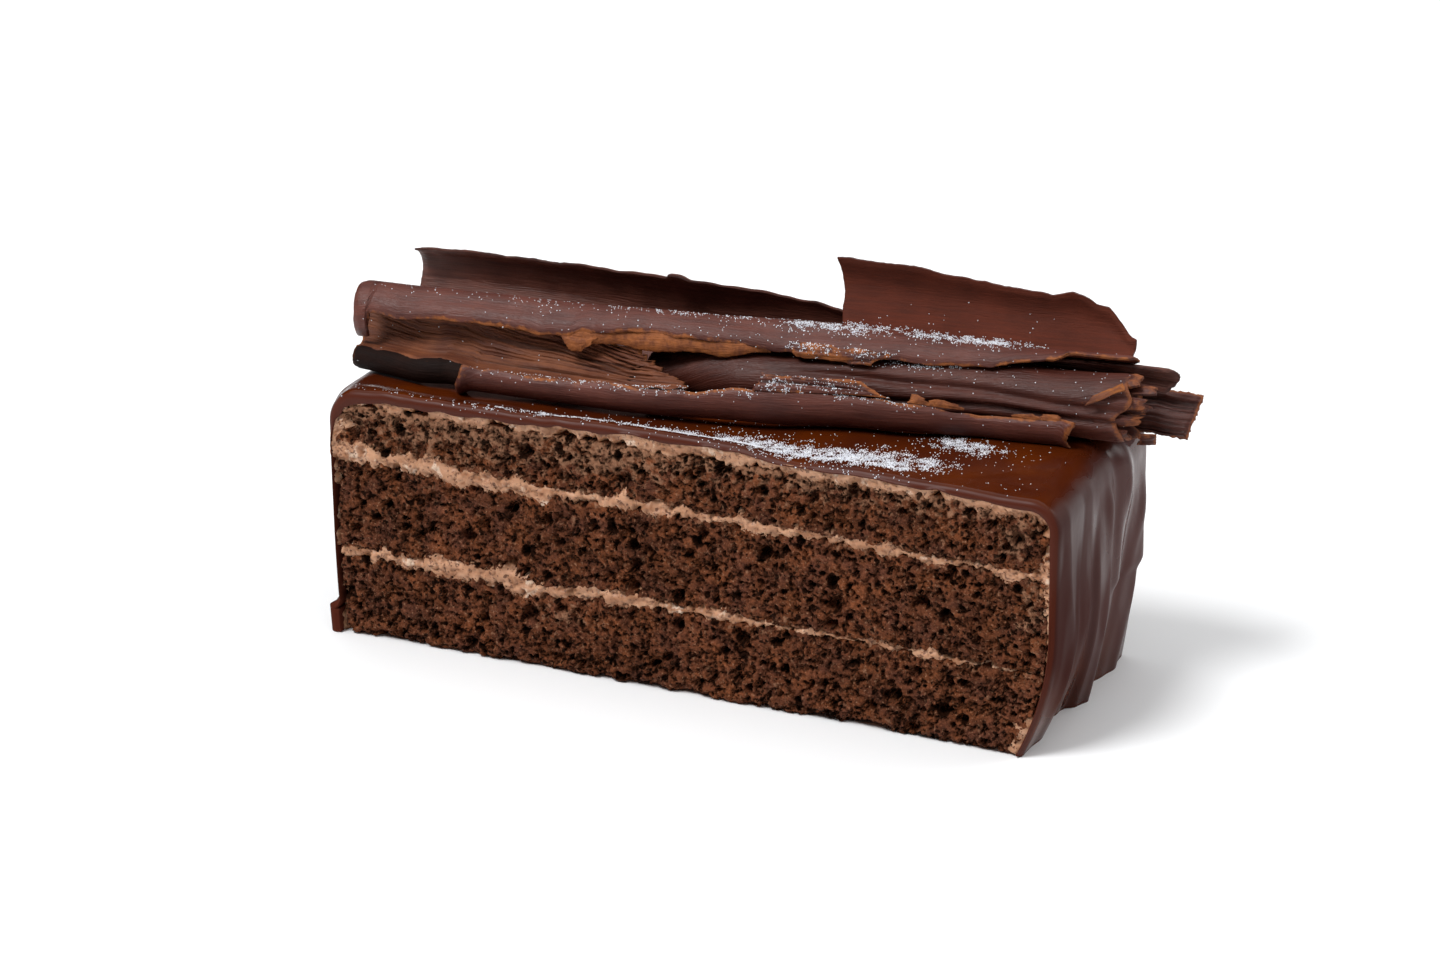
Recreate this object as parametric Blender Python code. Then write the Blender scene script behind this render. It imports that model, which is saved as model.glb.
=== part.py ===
"""A cut slice of chocolate layer cake with a heap of torn chocolate curls on top.

Three sponge layers with two thin fillings, a cream coat and a poured chocolate glaze. Coat and glaze run
over the top and down the two ends. The long sides are cut, so they show every layer.

+X runs along the slice, +Y away from the cut side that is seen first, +Z up. The origin is the middle
of the base. Sizes are worked out in millimetres, and build_slab turns them into metres.
"""

import math

import bpy
import numpy as np

MM = 0.001
GAP = 0.35  # left between neighbouring layers

# The slice
HALF_LENGTH = 60.0
HALF_WIDTH = 20.7
SPONGE_TOP = 38.3
SPONGE_CORNER = 2.2  # radius of the sponge's rounded top corners

# Fillings: middle height at the left end, how far it sinks to the right end, and thickness
LOWER_FILLING = 14.2
UPPER_FILLING = 30.8
FILLING_SINK = 1.0
FILLING_THICK_LEFT = 2.6
FILLING_THICK_RIGHT = 1.2

# Coat and glaze, outside the sponge
COAT_SIDE = 0.8
COAT_TOP = 1.1
GLAZE_SIDE = 1.15
GLAZE_TOP = 1.4
SPONGE_END = HALF_LENGTH - GLAZE_SIDE - COAT_SIDE - 2 * GAP
GLAZE_LEVEL = SPONGE_TOP + COAT_TOP + GLAZE_TOP + 2 * GAP

# The ends lean in below this height: the left one evenly, the right one by an amount set at four depths
LEAN_HEIGHT = 20.0
LEFT_LEAN = 0.6
LEAN_DEPTHS = (-HALF_WIDTH, -3.0, 1.5, HALF_WIDTH)
LEAN_AMOUNTS = (4.6, 4.2, 2.6, 1.4)

# Glaze details
FOOT_HEIGHT = 5.5  # ledge where the glaze has pooled at the left end
FOOT_REACH = 1.9
END_BULGE = 1.2  # how far the left end swells out behind the cut
DRIP_HEIGHT = 18.0  # lower edge of the thick run of glaze at the back of the right end
DRIP_THICK = 0.8

# Depths, front to back, at which the layers have points, and the further ones that the glaze needs
DEPTHS = (-HALF_WIDTH, -12.0, -3.0, 1.5, 11.0, HALF_WIDTH)
GLAZE_DEPTHS = sorted({*DEPTHS, -16.5, -7.5, -5.0, 4.0, 7.0, 14.0, 17.5})
CORNER_STEPS = 5

# Curls
CURL_THICK = 0.9
THIN_CURL = 0.72
CURL_FLOOR = GLAZE_LEVEL + 0.3  # lowest point of a curl that lies on the glaze
REST = CURL_FLOOR + CURL_THICK / 2  # height of its middle line there
BACK_RADIUS = 7.85
CREST_RADIUS = 4.3

# Colour and roughness of each kind of surface
SPONGE = ((0.060, 0.022, 0.012), 0.9)
CREAM = ((0.500, 0.300, 0.180), 0.6)
GLAZE = ((0.070, 0.022, 0.010), 0.2)
CHOCOLATE = ((0.045, 0.018, 0.014), 0.4)
TORN_CHOCOLATE = ((0.160, 0.055, 0.020), 0.6)


# Lines and rules


def wander(x, seed, size):
    """A smooth irregular line, from three waves of unequal length."""
    waves = ((23.0, 0.5), (9.7, 0.3), (4.3, 0.2))
    turns = [(share, math.tau * x / length + seed * (3.1 + length)) for length, share in waves]
    return size * sum(share * math.sin(turn) for share, turn in turns)


def ease(value, low, high):
    """0 below low, 1 above high, and a smooth step between."""
    t = min(max((value - low) / (high - low), 0.0), 1.0)
    return t * t * (3.0 - 2.0 * t)


def along(x, *knots):
    """A smooth line through (x, value) knots."""
    if x <= knots[0][0]:
        return knots[0][1]
    for (x0, value0), (x1, value1) in zip(knots, knots[1:]):
        if x <= x1:
            share = (ease(x, x0, x1) + (x - x0) / (x1 - x0)) / 2
            return value0 + (value1 - value0) * share
    return knots[-1][1]


def arc(centre, radius, start, end, v):
    """The point at v, from 0 to 1, of an arc in the YZ plane. Angles are in degrees from +Y towards +Z."""
    angle = math.radians(start + (end - start) * v)
    return centre[0] + radius * math.cos(angle), centre[1] + radius * math.sin(angle)


# Meshes


def surface(name, colour, roughness):
    made = bpy.data.materials.new(name)
    made.use_nodes = True
    shader = made.node_tree.nodes["Principled BSDF"]
    shader.inputs["Base Color"].default_value = (*colour, 1.0)
    shader.inputs["Roughness"].default_value = roughness
    shader.inputs["Metallic"].default_value = 0.0
    return made


def inside_out(mesh):
    """Whether a closed mesh holds a negative volume."""
    mesh.calc_loop_triangles()
    points = [vertex.co for vertex in mesh.vertices]
    corners = [[points[index] for index in triangle.vertices] for triangle in mesh.loop_triangles]
    return sum(a.dot(b.cross(c)) for a, b, c in corners) < 0


def build_slab(name, lower, upper, look):
    """One closed body between two grids of points, in millimetres, whose rims are joined all round."""
    rows, columns = len(lower), len(lower[0])
    points = [point for grid in (lower, upper) for row in grid for point in row]

    def at(side, i, j):
        return (side * rows + i) * columns + j

    faces = []
    for i in range(rows - 1):
        for j in range(columns - 1):
            faces.append((at(0, i, j), at(0, i, j + 1), at(0, i + 1, j + 1), at(0, i + 1, j)))
            faces.append((at(1, i, j), at(1, i + 1, j), at(1, i + 1, j + 1), at(1, i, j + 1)))
    rim = [(0, j) for j in range(columns)]
    rim += [(i, columns - 1) for i in range(1, rows)]
    rim += [(rows - 1, j) for j in reversed(range(columns - 1))]
    rim += [(i, 0) for i in reversed(range(1, rows - 1))]
    for here, there in zip(rim, rim[1:] + rim[:1]):
        faces.append((at(0, *there), at(0, *here), at(1, *here), at(1, *there)))

    mesh = bpy.data.meshes.new(name)
    mesh.from_pydata([tuple(MM * value for value in point) for point in points], [], faces)
    if inside_out(mesh):
        mesh.flip_normals()
    mesh.materials.append(surface(name + "_surface", *look))
    mesh.shade_smooth()
    mesh.set_sharp_from_angle(angle=math.radians(40))
    made = bpy.data.objects.new(name, mesh)
    bpy.context.collection.objects.link(made)
    return made


def build_sheet(name, left, right, section, grid, thick, look):
    """A thin curled sheet.

    section(x, v) gives (y, z) of its middle line across, and left(v) and right(v) give x of its two end
    edges. The grid is (points along, points across).
    """
    columns, rows = grid
    middle = np.zeros((columns, rows, 3))
    for i in range(columns):
        for j in range(rows):
            v = j / (rows - 1)
            x = left(v) + (right(v) - left(v)) * i / (columns - 1)
            middle[i, j] = (x, *section(x, v))
    normal = np.cross(np.gradient(middle, axis=0), np.gradient(middle, axis=1))
    normal /= np.linalg.norm(normal, axis=2, keepdims=True)
    half = normal * thick / 2
    return build_slab(name, (middle - half).tolist(), (middle + half).tolist(), look)


# Sponge and fillings


def sponge_left(z):
    return -SPONGE_END + LEFT_LEAN * max(0.0, 1.0 - z / LEAN_HEIGHT) ** 2


def sponge_right(z, y):
    lean = float(np.interp(y, LEAN_DEPTHS, LEAN_AMOUNTS))
    return SPONGE_END - lean * max(0.0, 1.0 - z / LEAN_HEIGHT) ** 2


def corner_drop(x):
    """How far the sponge's top lies below its level at x, near its rounded top corners."""
    past = min(max(abs(x) - (SPONGE_END - SPONGE_CORNER), 0.0), SPONGE_CORNER)
    return SPONGE_CORNER - math.sqrt(SPONGE_CORNER**2 - past**2)


def filling_face(height, side):
    """The height over (x, y) of a filling's lower (-1) or upper (+1) face."""

    def face(x, y):
        middle = height - FILLING_SINK * (x / HALF_LENGTH + 1.0) / 2 + wander(x + 0.8 * y, height, 0.45)
        thick = along(x, (-50.0, FILLING_THICK_LEFT), (45.0, FILLING_THICK_RIGHT))
        thick += wander(x - 0.6 * y, height + 2.0, 0.5)
        return middle + side * thick / 2

    return face


def shifted(face, distance):
    return lambda x, y: face(x, y) + distance


def layer(name, bottom, top, look):
    """A layer that runs through the slice between two heights, bottom(x, y) and top(x, y)."""
    turns = [math.pi / 2 * k / CORNER_STEPS for k in range(CORNER_STEPS)]
    corner = [SPONGE_CORNER * (1 - math.cos(turn)) for turn in turns]
    middle = np.linspace(SPONGE_CORNER, 2 * SPONGE_END - SPONGE_CORNER, 19)
    stations = [*corner, *middle, *(2 * SPONGE_END - step for step in reversed(corner))]
    lower, upper = [], []
    for station in stations:
        for grid, height in ((lower, bottom), (upper, top)):
            row = []
            for y in DEPTHS:
                z = height(station - SPONGE_END, y)
                length = sponge_right(z, y) - sponge_left(z)
                row.append((sponge_left(z) + length * station / (2 * SPONGE_END), y, z))
            grid.append(row)
    build_slab(name, lower, upper, look)


def sponges_and_fillings():
    lower_bottom, lower_top = filling_face(LOWER_FILLING, -1), filling_face(LOWER_FILLING, 1)
    upper_bottom, upper_top = filling_face(UPPER_FILLING, -1), filling_face(UPPER_FILLING, 1)
    layer("sponge_bottom", lambda x, y: 0.0, shifted(lower_bottom, -GAP), SPONGE)
    layer("cream_lower", lower_bottom, lower_top, CREAM)
    layer("sponge_middle", shifted(lower_top, GAP), shifted(upper_bottom, -GAP), SPONGE)
    layer("cream_upper", upper_bottom, upper_top, CREAM)
    layer("sponge_top", shifted(upper_top, GAP), lambda x, y: SPONGE_TOP - corner_drop(x), SPONGE)


# Coat and glaze


def wrap(out_side, out_top, y):
    """Points (x, z) at depth y of the upside-down U round the sponge, this far outside it.

    It runs from the left end's foot over the top to the right end's foot.
    """
    corner = SPONGE_TOP - SPONGE_CORNER
    heights = [corner * k / 9 for k in range(9)]
    flat = SPONGE_END - SPONGE_CORNER
    reach_x, reach_z = SPONGE_CORNER + out_side, SPONGE_CORNER + out_top
    turns = [math.pi / 2 * k / CORNER_STEPS for k in range(CORNER_STEPS + 1)]
    bend = [(flat + reach_x * math.cos(turn), corner + reach_z * math.sin(turn)) for turn in turns]
    points = [(sponge_left(z) - out_side, z) for z in heights]
    points += [(-x, z) for x, z in bend]
    points += [(flat * (k / 7 - 1), SPONGE_TOP + out_top) for k in range(1, 14)]
    points += reversed(bend)
    points += [(sponge_right(z, y) + out_side, z) for z in reversed(heights)]
    return points


def coat():
    inner = [[(x, y, z) for x, z in wrap(GAP, GAP, y)] for y in DEPTHS]
    outer = [[(x, y, z) for x, z in wrap(GAP + COAT_SIDE, GAP + COAT_TOP, y)] for y in DEPTHS]
    build_slab("cream_coat", inner, outer, CREAM)


def right_end_relief(y, z):
    """How far the runs of glaze on the right end stand out: ridges, grooves and the thick run at the back."""
    # Depth, spread and rise of each upright ridge or groove
    ridges = ((-15.0, 3.0, 0.25), (-4.0, 2.2, 0.55), (1.5, 1.8, -0.2), (6.0, 2.2, 0.5), (12.0, 2.4, -0.25))
    relief = sum(rise * math.exp(-(((y - place) / spread) ** 2)) for place, spread, rise in ridges)
    run = ease(y, 6.0, 9.0) * ease(z, DRIP_HEIGHT - 1.5, DRIP_HEIGHT + 1.5)
    return relief * ease(z, GLAZE_LEVEL - 3.0, GLAZE_LEVEL - 12.0) + DRIP_THICK * run


def left_end_relief(y, z):
    """How far the foot and the swelling stand out at the left end."""
    foot = FOOT_REACH * (1.0 - ease(z, FOOT_HEIGHT - 0.5, FOOT_HEIGHT + 0.5))
    behind_cut = ease(y, -HALF_WIDTH, -HALF_WIDTH + 5.0)
    return foot + END_BULGE * behind_cut * ease(z, GLAZE_LEVEL - 13.0, GLAZE_LEVEL - 3.0)


def top_swell(x, y):
    """The top of the glaze rises a little towards the cut sides, most near the middle of the slice."""
    edge = ease(abs(y), HALF_WIDTH - 6.0, HALF_WIDTH)
    bump = math.exp(-(((x + 4.0) / 22.0) ** 2))
    return edge * (0.2 + 0.7 * bump + wander(x, 4.0, 0.15))


def glaze():
    inner_side, inner_top = COAT_SIDE + 2 * GAP, COAT_TOP + 2 * GAP
    inner, outer = [], []
    for y in GLAZE_DEPTHS:
        inner.append([(x, y, z) for x, z in wrap(inner_side, inner_top, y)])
        row = []
        for x, z in wrap(inner_side + GLAZE_SIDE, inner_top + GLAZE_TOP, y):
            swell = top_swell(x, y) * ease(z, GLAZE_LEVEL - 2.0, GLAZE_LEVEL)
            relief = right_end_relief(y, z) if x > 0 else -left_end_relief(y, z)
            row.append((x + relief, y, z + swell))
        outer.append(row)
    build_slab("glaze", inner, outer, GLAZE)


# Middle lines of the curls: the heap lies slantwise, so each moves back (+Y) towards the right end


def crest_line(x):
    y = along(x, (-61, -6.5), (-27, -4.2), (-5, -1.3), (15, 2.2), (45, 6.8), (62, 9.2))
    return y, along(x, (-61, 50.3), (15, 50.6), (45, 49.6), (62, 49.5))


def back_line(x):
    return along(x, (-58, 1.2), (15, 8.0), (56, 11.0)), CURL_FLOOR + 8.3


def front_radius(x):
    return along(x, (-37, 2.7), (-20, 2.8), (8, 3.6), (26, 3.4), (43, 2.4), (55, 2.2))


def front_line(x):
    y = along(
        x, (-60, -8.4), (-43, -11.2), (-37, -12.2), (-13, -11.4), (8, -7.6), (26, -2.6), (43, 1.8), (55, 3)
    )
    return y, REST + front_radius(x)


def middle_radius(x):
    return along(x, (-13, 2.8), (3, 4.1), (20, 4.2), (55, 4.3), (63, 4.5))


def middle_line(x):
    y = along(x, (-13, -1.0), (3, -2.0), (26, 1.8), (43, 5.2), (63, 6.6))
    return y, REST + middle_radius(x)


# The curls


def curl_back():
    """The big trough behind: it lies on the glaze, stands up at the back and leans over at its torn lip."""

    def section(x, v):
        lip = along(x, (-58, 66), (-26, 58), (-5, 50), (6, 36), (15, 24), (56, -8)) + wander(x, 7.0, 4.0)
        return arc(back_line(x), BACK_RADIUS, along(x, (40, -100), (52, -84)), lip, v)

    def left(v):
        return -58.6 + 2.4 * ease(v, 0.6, 1.0)

    build_sheet("curl_back", left, lambda v: 55.0 + v, section, (26, 11), CURL_THICK, CHOCOLATE)


def crest_flap():
    """The stretch of the crest's sheet that stands up at its back, hollow side to the front."""

    def section(x, v):
        y, z = crest_line(x)
        bend = along(x, (14, 6.9), (50, 5.7))
        lean = along(
            x, (12, 19), (24, 25), (32, 24), (40, 16), (45, 18), (49.5, 24), (51.5, 10), (55, 2),
            (56.5, -10), (61.5, -56)
        )
        return arc((y + 0.4, z + CREST_RADIUS - 0.1 + bend), bend, -84.0, lean, v)

    def left(v):
        return 17.0 - 2.8 * v**0.7

    return build_sheet("flap", left, lambda v: 60.8, section, (16, 7), CURL_THICK, CHOCOLATE)


def curl_crest():
    """The long tube on top: its upper part, from the torn front edge over to the back, with the flap."""

    def section(x, v):
        front = along(
            x, (-60.2, 236), (-57.2, 160), (-47, 168), (-40, 156), (-25, 173), (-10, 180), (3, 171),
            (24, 160), (31, 168), (43, 156), (52, 112)
        )
        back = along(x, (-16, -35), (-10, -20), (5, -30))
        return arc(crest_line(x), CREST_RADIUS, front, back, v)

    def left(v):
        return -60.6 + 0.5 * math.sin(9.0 * v)

    def right(v):
        return 61.0 + 1.2 * math.sin(7.0 * v)

    crest = build_sheet("curl_crest", left, right, section, (31, 9), CURL_THICK, CHOCOLATE)
    flap = crest_flap()
    joined = crest.modifiers.new("flap", "BOOLEAN")
    joined.operation = "UNION"
    joined.object = flap
    flap.hide_render = True
    flap.display_type = "WIRE"


def curl_grooved():
    """A sheet that rolls up inside the front roll to a lip, then hollows back and up under the crest."""
    turn = 0.36  # share of the way across at which the lip lies
    lip_angle = 100.0

    def section(x, v):
        y, z = front_line(x)
        low = along(x, (-60, 1.5), (-44, 1.9), (-39, front_radius(x) - 1.25))
        wall = (y, along(x, (-44, REST + low), (-39, z)))
        if v < turn:
            return arc(wall, low, 262.0, lip_angle, v / turn)
        high = along(x, (-60, 3.7), (-30, 4.6), (-13, 5.0))
        lip = arc(wall, low, lip_angle, lip_angle, 1.0)
        hollow = arc(lip, high, 75.0, 75.0, 1.0)
        end = along(x, (-58, 24), (-30, 18), (-14, -4))
        return arc(hollow, high, -105.0, end, (v - turn) / (1.0 - turn))

    def left(v):
        return -59.6 + 3.0 * ease(v, 0.35, 0.55)

    def right(v):
        return -3.4 - 9.5 * ease(v, 0.35, 1.0)

    build_sheet("curl_grooved", left, right, section, (15, 14), CURL_THICK, TORN_CHOCOLATE)


def curl_front():
    """The low convex roll at the front, with a torn tab that stands up from its edge."""

    def section(x, v):
        tab = 24.0 * ease(x, 8.0, 10.0) * (1.0 - ease(x, 12.0, 28.0))
        return arc(front_line(x), front_radius(x), 262.0, 152.0 + wander(x, 3.0, 5.0) - tab, v)

    def left(v):
        return -40.0 + 1.4 * v

    def right(v):
        return 54.2 + 0.9 * v

    build_sheet("curl_front", left, right, section, (24, 7), CURL_THICK, CHOCOLATE)


def curl_middle():
    """The smooth roll between crest and front roll, wound inwards for nearly one and a half turns."""
    start, wound = 140.0, 520.0

    def section(x, v):
        return arc(middle_line(x), middle_radius(x) * (1.0 - 0.45 * v), start, start - wound, v)

    def right(v):
        return 62.6 + 1.2 * math.sin(11.0 * v)

    build_sheet("curl_middle", lambda v: -13.0, right, section, (17, 21), THIN_CURL, CHOCOLATE)


def shard_tip():
    """A dark strip inside the crest's right end that reaches out beyond it."""

    def section(x, v):
        return arc(crest_line(x), 3.0, -25.0, 74.0, v)

    def right(v):
        return 66.0 + 2.2 * math.sin(3.0 * v)

    build_sheet("shard_tip", lambda v: 47.5, right, section, (6, 5), THIN_CURL, TORN_CHOCOLATE)


def shard_end():
    """A nearly flat plate that leans back behind the middle roll's end."""

    def section(x, v):
        return 8.9 + 6.0 * v + 0.5 * math.sin(math.pi * v), CURL_FLOOR + 0.7 + 5.0 * v

    build_sheet("shard_end", lambda v: 52.0, lambda v: 70.2 + 0.9 * v, section, (6, 4), 1.1, TORN_CHOCOLATE)


def chip_end():
    """A small chip that lies over the right edge of the glaze."""

    def section(x, v):
        return 3.6 + 2.6 * v, CURL_FLOOR + 1.0 - 0.3 * v + 0.15 * (x - 64.0)

    def right(v):
        return 67.0 - 0.8 * v

    build_sheet("chip_end", lambda v: 64.4 - v, right, section, (4, 4), 0.8, TORN_CHOCOLATE)


def sliver():
    """A thin splinter that lies slantwise over the front of the middle roll, near its right end."""

    def section(x, v):
        turn = along(x, (56.5, 152), (62.5, 128))
        return arc(middle_line(x), middle_radius(x) + 1.3, turn + 6.0, turn - 6.0, v)

    build_sheet("sliver", lambda v: 56.5 + v, lambda v: 62.5 - v, section, (5, 2), 0.5, TORN_CHOCOLATE)


def main():
    for leftover in list(bpy.data.objects):
        bpy.data.objects.remove(leftover)
    sponges_and_fillings()
    coat()
    glaze()
    for build in (curl_back, curl_crest, curl_grooved, curl_front, curl_middle):
        build()
    for build in (shard_tip, shard_end, chip_end, sliver):
        build()


main()
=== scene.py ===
import math

import bpy
import numpy as np
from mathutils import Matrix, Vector


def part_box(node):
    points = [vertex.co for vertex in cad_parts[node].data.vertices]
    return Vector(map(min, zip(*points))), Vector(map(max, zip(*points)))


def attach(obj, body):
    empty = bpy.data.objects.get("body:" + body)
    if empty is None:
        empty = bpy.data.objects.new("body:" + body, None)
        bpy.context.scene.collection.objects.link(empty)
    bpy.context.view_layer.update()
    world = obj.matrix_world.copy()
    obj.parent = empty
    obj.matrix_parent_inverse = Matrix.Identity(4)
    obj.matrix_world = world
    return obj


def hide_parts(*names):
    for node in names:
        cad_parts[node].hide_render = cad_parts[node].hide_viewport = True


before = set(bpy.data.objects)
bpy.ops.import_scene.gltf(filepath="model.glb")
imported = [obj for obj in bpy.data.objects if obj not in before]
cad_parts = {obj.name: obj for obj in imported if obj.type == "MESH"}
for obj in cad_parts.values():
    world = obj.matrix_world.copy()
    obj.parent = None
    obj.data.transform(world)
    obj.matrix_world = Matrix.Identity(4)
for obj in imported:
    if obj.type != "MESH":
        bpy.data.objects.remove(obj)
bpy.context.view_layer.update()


# ==== Sponge layers ====
# Three layers of cocoa sponge, baked as sheets and cut through with a knife on both long sides. The
# knife tears the soft crumb open, so the cut shows bubbles, crevices and small ragged grains.

MM = 0.001
HALF_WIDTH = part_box("sponge_middle")[1].y / MM
SPONGE_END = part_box("sponge_top")[1].x / MM
SPONGE_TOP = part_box("sponge_top")[1].z / MM
SPONGE_CORNER = 2.2
LEAN_HEIGHT = 20.0  # below this height the ends lean in
LEFT_LEAN = 0.6
LEAN_DEPTHS = (-HALF_WIDTH, -3.0, 1.5, HALF_WIDTH)  # where along Y the right end leans in by LEAN_AMOUNTS
LEAN_AMOUNTS = (4.6, 4.2, 2.6, 1.4)
LOWER_FILLING = 14.2  # heights of the two seams
UPPER_FILLING = 30.8
SEAM_GAP = 0.05  # between a layer of sponge and a seam
CRUMB_REACH = 1.3  # how far loose crumb reaches into the coat at the cut
CRUMB_STEP = 0.22  # spacing of the points on a cut face
RIM_WIDTH = 0.45  # over which a layer's edge is rounded off
SMEAR_WIDTH = 0.9  # over which cream is smeared along a seam


def ease(value, low, high):
    """0 at low, 1 at high, and a smooth step between."""
    t = np.clip((np.asarray(value, float) - low) / (high - low), 0.0, 1.0)
    return t * t * (3.0 - 2.0 * t)


def along(place, *knots):
    """A smooth line through (place, value) knots, half eased and half straight between them."""
    places, values = np.array(knots, float).T
    at = np.clip(np.searchsorted(places, place) - 1, 0, len(places) - 2)
    t = np.clip((place - places[at]) / (places[at + 1] - places[at]), 0.0, 1.0)
    return values[at] + (values[at + 1] - values[at]) * (t + t * t * (3.0 - 2.0 * t)) / 2


def ragged(place, seed, step, size):
    """A torn line: random heights at every step along it, joined by straight stretches."""
    steps = 4096
    heights = np.random.default_rng(seed).uniform(-size, size, steps)
    return np.interp(np.asarray(place, float) / step + steps / 2, np.arange(steps), heights)


def hump(x, z, centre_x, centre_z, width, height):
    """A soft round patch on a cut face, 1 in its middle."""
    return np.exp(-(((x - centre_x) / width) ** 2) - ((z - centre_z) / height) ** 2)


def linear(colour):
    """An sRGB hex colour as linear RGBA."""
    parts = [int(colour[i : i + 2], 16) / 255 for i in (1, 3, 5)]
    return (*(p / 12.92 if p <= 0.04045 else ((p + 0.055) / 1.055) ** 2.4 for p in parts), 1.0)


def feed(tree, node, inputs):
    """Gives each named or numbered socket of a node a value, or a link from a socket or from the first
    output in use of another node."""
    for key, value in inputs.items():
        if isinstance(value, bpy.types.Node):
            value = next(output for output in value.outputs if output.enabled)
        if isinstance(value, bpy.types.NodeSocket):
            tree.links.new(value, node.inputs[key])
        else:
            node.inputs[key].default_value = value


def add(tree, kind, inputs=None, **settings):
    """Adds a node with these settings of its own, and feeds its sockets."""
    made = tree.nodes.new(kind)
    for key, value in settings.items():
        setattr(made, key, value)
    feed(tree, made, inputs or {})
    return made


def mottle(tree, where, spacing, detail, low, high, least=0.0, most=1.0, roughness=0.5):
    """Cloudy patches of this spacing: noise, stretched so that low to high becomes least to most."""
    noise = {"Vector": where, "Scale": 1 / spacing, "Detail": detail, "Roughness": roughness}
    noise = add(tree, "ShaderNodeTexNoise", noise)
    return add(tree, "ShaderNodeMapRange", {0: noise, 1: low, 2: high, 3: least, 4: most})


def new_tree(name, materials, **sizes):
    """A Geometry Nodes tree that takes in a geometry, materials and named sizes. Gives back the tree, its
    input node and the place of every point in millimetres."""
    tree = bpy.data.node_groups.new(name, "GeometryNodeTree")
    tree.interface.new_socket("Geometry", in_out="INPUT", socket_type="NodeSocketGeometry")
    tree.interface.new_socket("Geometry", in_out="OUTPUT", socket_type="NodeSocketGeometry")
    for label in materials:
        tree.interface.new_socket(label, in_out="INPUT", socket_type="NodeSocketMaterial")
    for label, value in sizes.items():
        tree.interface.new_socket(label, in_out="INPUT", socket_type="NodeSocketFloat").default_value = value
    given = add(tree, "NodeGroupInput")
    place = add(tree, "GeometryNodeInputPosition")
    return tree, given, add(tree, "ShaderNodeVectorMath", {0: place, "Scale": 1 / MM}, operation="SCALE")


def end_tree(tree, given, shape, hollow=None):
    """The tree's last nodes: a plain mesh with its material, and another material where hollow says so."""
    shape = add(tree, "GeometryNodeRealizeInstances", {"Geometry": shape})
    shape = add(tree, "GeometryNodeSetMaterial", {"Geometry": shape, "Material": given.outputs["Material"]})
    if hollow:
        other = given.outputs["Hollow material"]
        shape = add(
            tree, "GeometryNodeSetMaterial", {"Geometry": shape, "Selection": hollow, "Material": other}
        )
    add(tree, "NodeGroupOutput", {"Geometry": shape})


def run_tree(piece, tree, **given):
    """Runs a Geometry Nodes tree on a piece and keeps what it makes as the piece's plain mesh."""
    modifier = piece.modifiers.new(tree.name, "NODES")
    modifier.node_group = tree
    for socket in tree.interface.items_tree:
        if socket.item_type == "SOCKET" and socket.in_out == "INPUT" and socket.name in given:
            modifier[socket.identifier] = given[socket.name]
    graph = bpy.context.evaluated_depsgraph_get()
    made = bpy.data.meshes.new_from_object(
        piece.evaluated_get(graph), preserve_all_data_layers=True, depsgraph=graph
    )
    piece.modifiers.remove(modifier)
    old = piece.data
    piece.data = made
    made.name = piece.name
    bpy.data.meshes.remove(old)
    return piece


def slab(under, over, **marks):
    """One closed shell between two grids of points in millimetres, joined round their rims.

    Each mark is a number for every point: a grid or one number for both sides, or a pair of these."""
    rows, columns = under.shape[:2]
    count = rows * columns
    index = np.arange(count).reshape(rows, columns)
    quads = np.stack([index[:-1, :-1], index[:-1, 1:], index[1:, 1:], index[1:, :-1]], axis=-1).reshape(-1, 4)
    rim = np.concatenate([index[0, :], index[1:, -1], index[-1, -2::-1], index[-2:0:-1, 0]])
    ahead = np.roll(rim, -1)
    walls = np.stack([ahead, rim, rim + count, ahead + count], axis=-1)
    points = np.concatenate([under.reshape(-1, 3), over.reshape(-1, 3)])
    faces = np.concatenate([quads, quads[:, ::-1] + count, walls])
    a, b, c, d = (points[faces[:, i]] for i in range(4))
    volume = np.sum(a * np.cross(b, c)) + np.sum(a * np.cross(c, d))
    values = {}
    for label, mark in marks.items():
        mark = mark if isinstance(mark, tuple) else (mark, mark)
        values[label] = np.concatenate([np.broadcast_to(m, (rows, columns)).reshape(-1) for m in mark])
    smooth = np.arange(len(faces)) < 2 * len(quads)
    faces = faces if volume > 0 else faces[:, ::-1]
    return {"points": points, "faces": faces, "smooth": smooth, "marks": values}


def new_object(name, data):
    """An object of the scene, at the origin."""
    made = bpy.data.objects.new(name, data)
    bpy.context.collection.objects.link(made)
    return made


def write_mark(mesh, label, values):
    """Stores a number for every point of a mesh."""
    mesh.attributes.new(label, "FLOAT", "POINT").data.foreach_set("value", values.astype(np.float32))


def make_piece(name, *shells):
    """One mesh object from closed shells, with their marks as attributes."""
    starts = np.cumsum([0] + [len(shell["points"]) for shell in shells])
    points = np.concatenate([shell["points"] for shell in shells]) * MM
    faces = np.concatenate([shell["faces"] + start for shell, start in zip(shells, starts)])
    mesh = bpy.data.meshes.new(name)
    mesh.from_pydata(points, [], faces.tolist())
    mesh.polygons.foreach_set("use_smooth", np.concatenate([shell["smooth"] for shell in shells]))
    for label in shells[0]["marks"]:
        write_mark(mesh, label, np.concatenate([shell["marks"][label] for shell in shells]))
    return new_object(name, mesh)


def settle(piece, slot, *nodes):
    """The piece stands for these CAD nodes and rides on the slice."""
    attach(piece, "root")
    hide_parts(*nodes)


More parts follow.
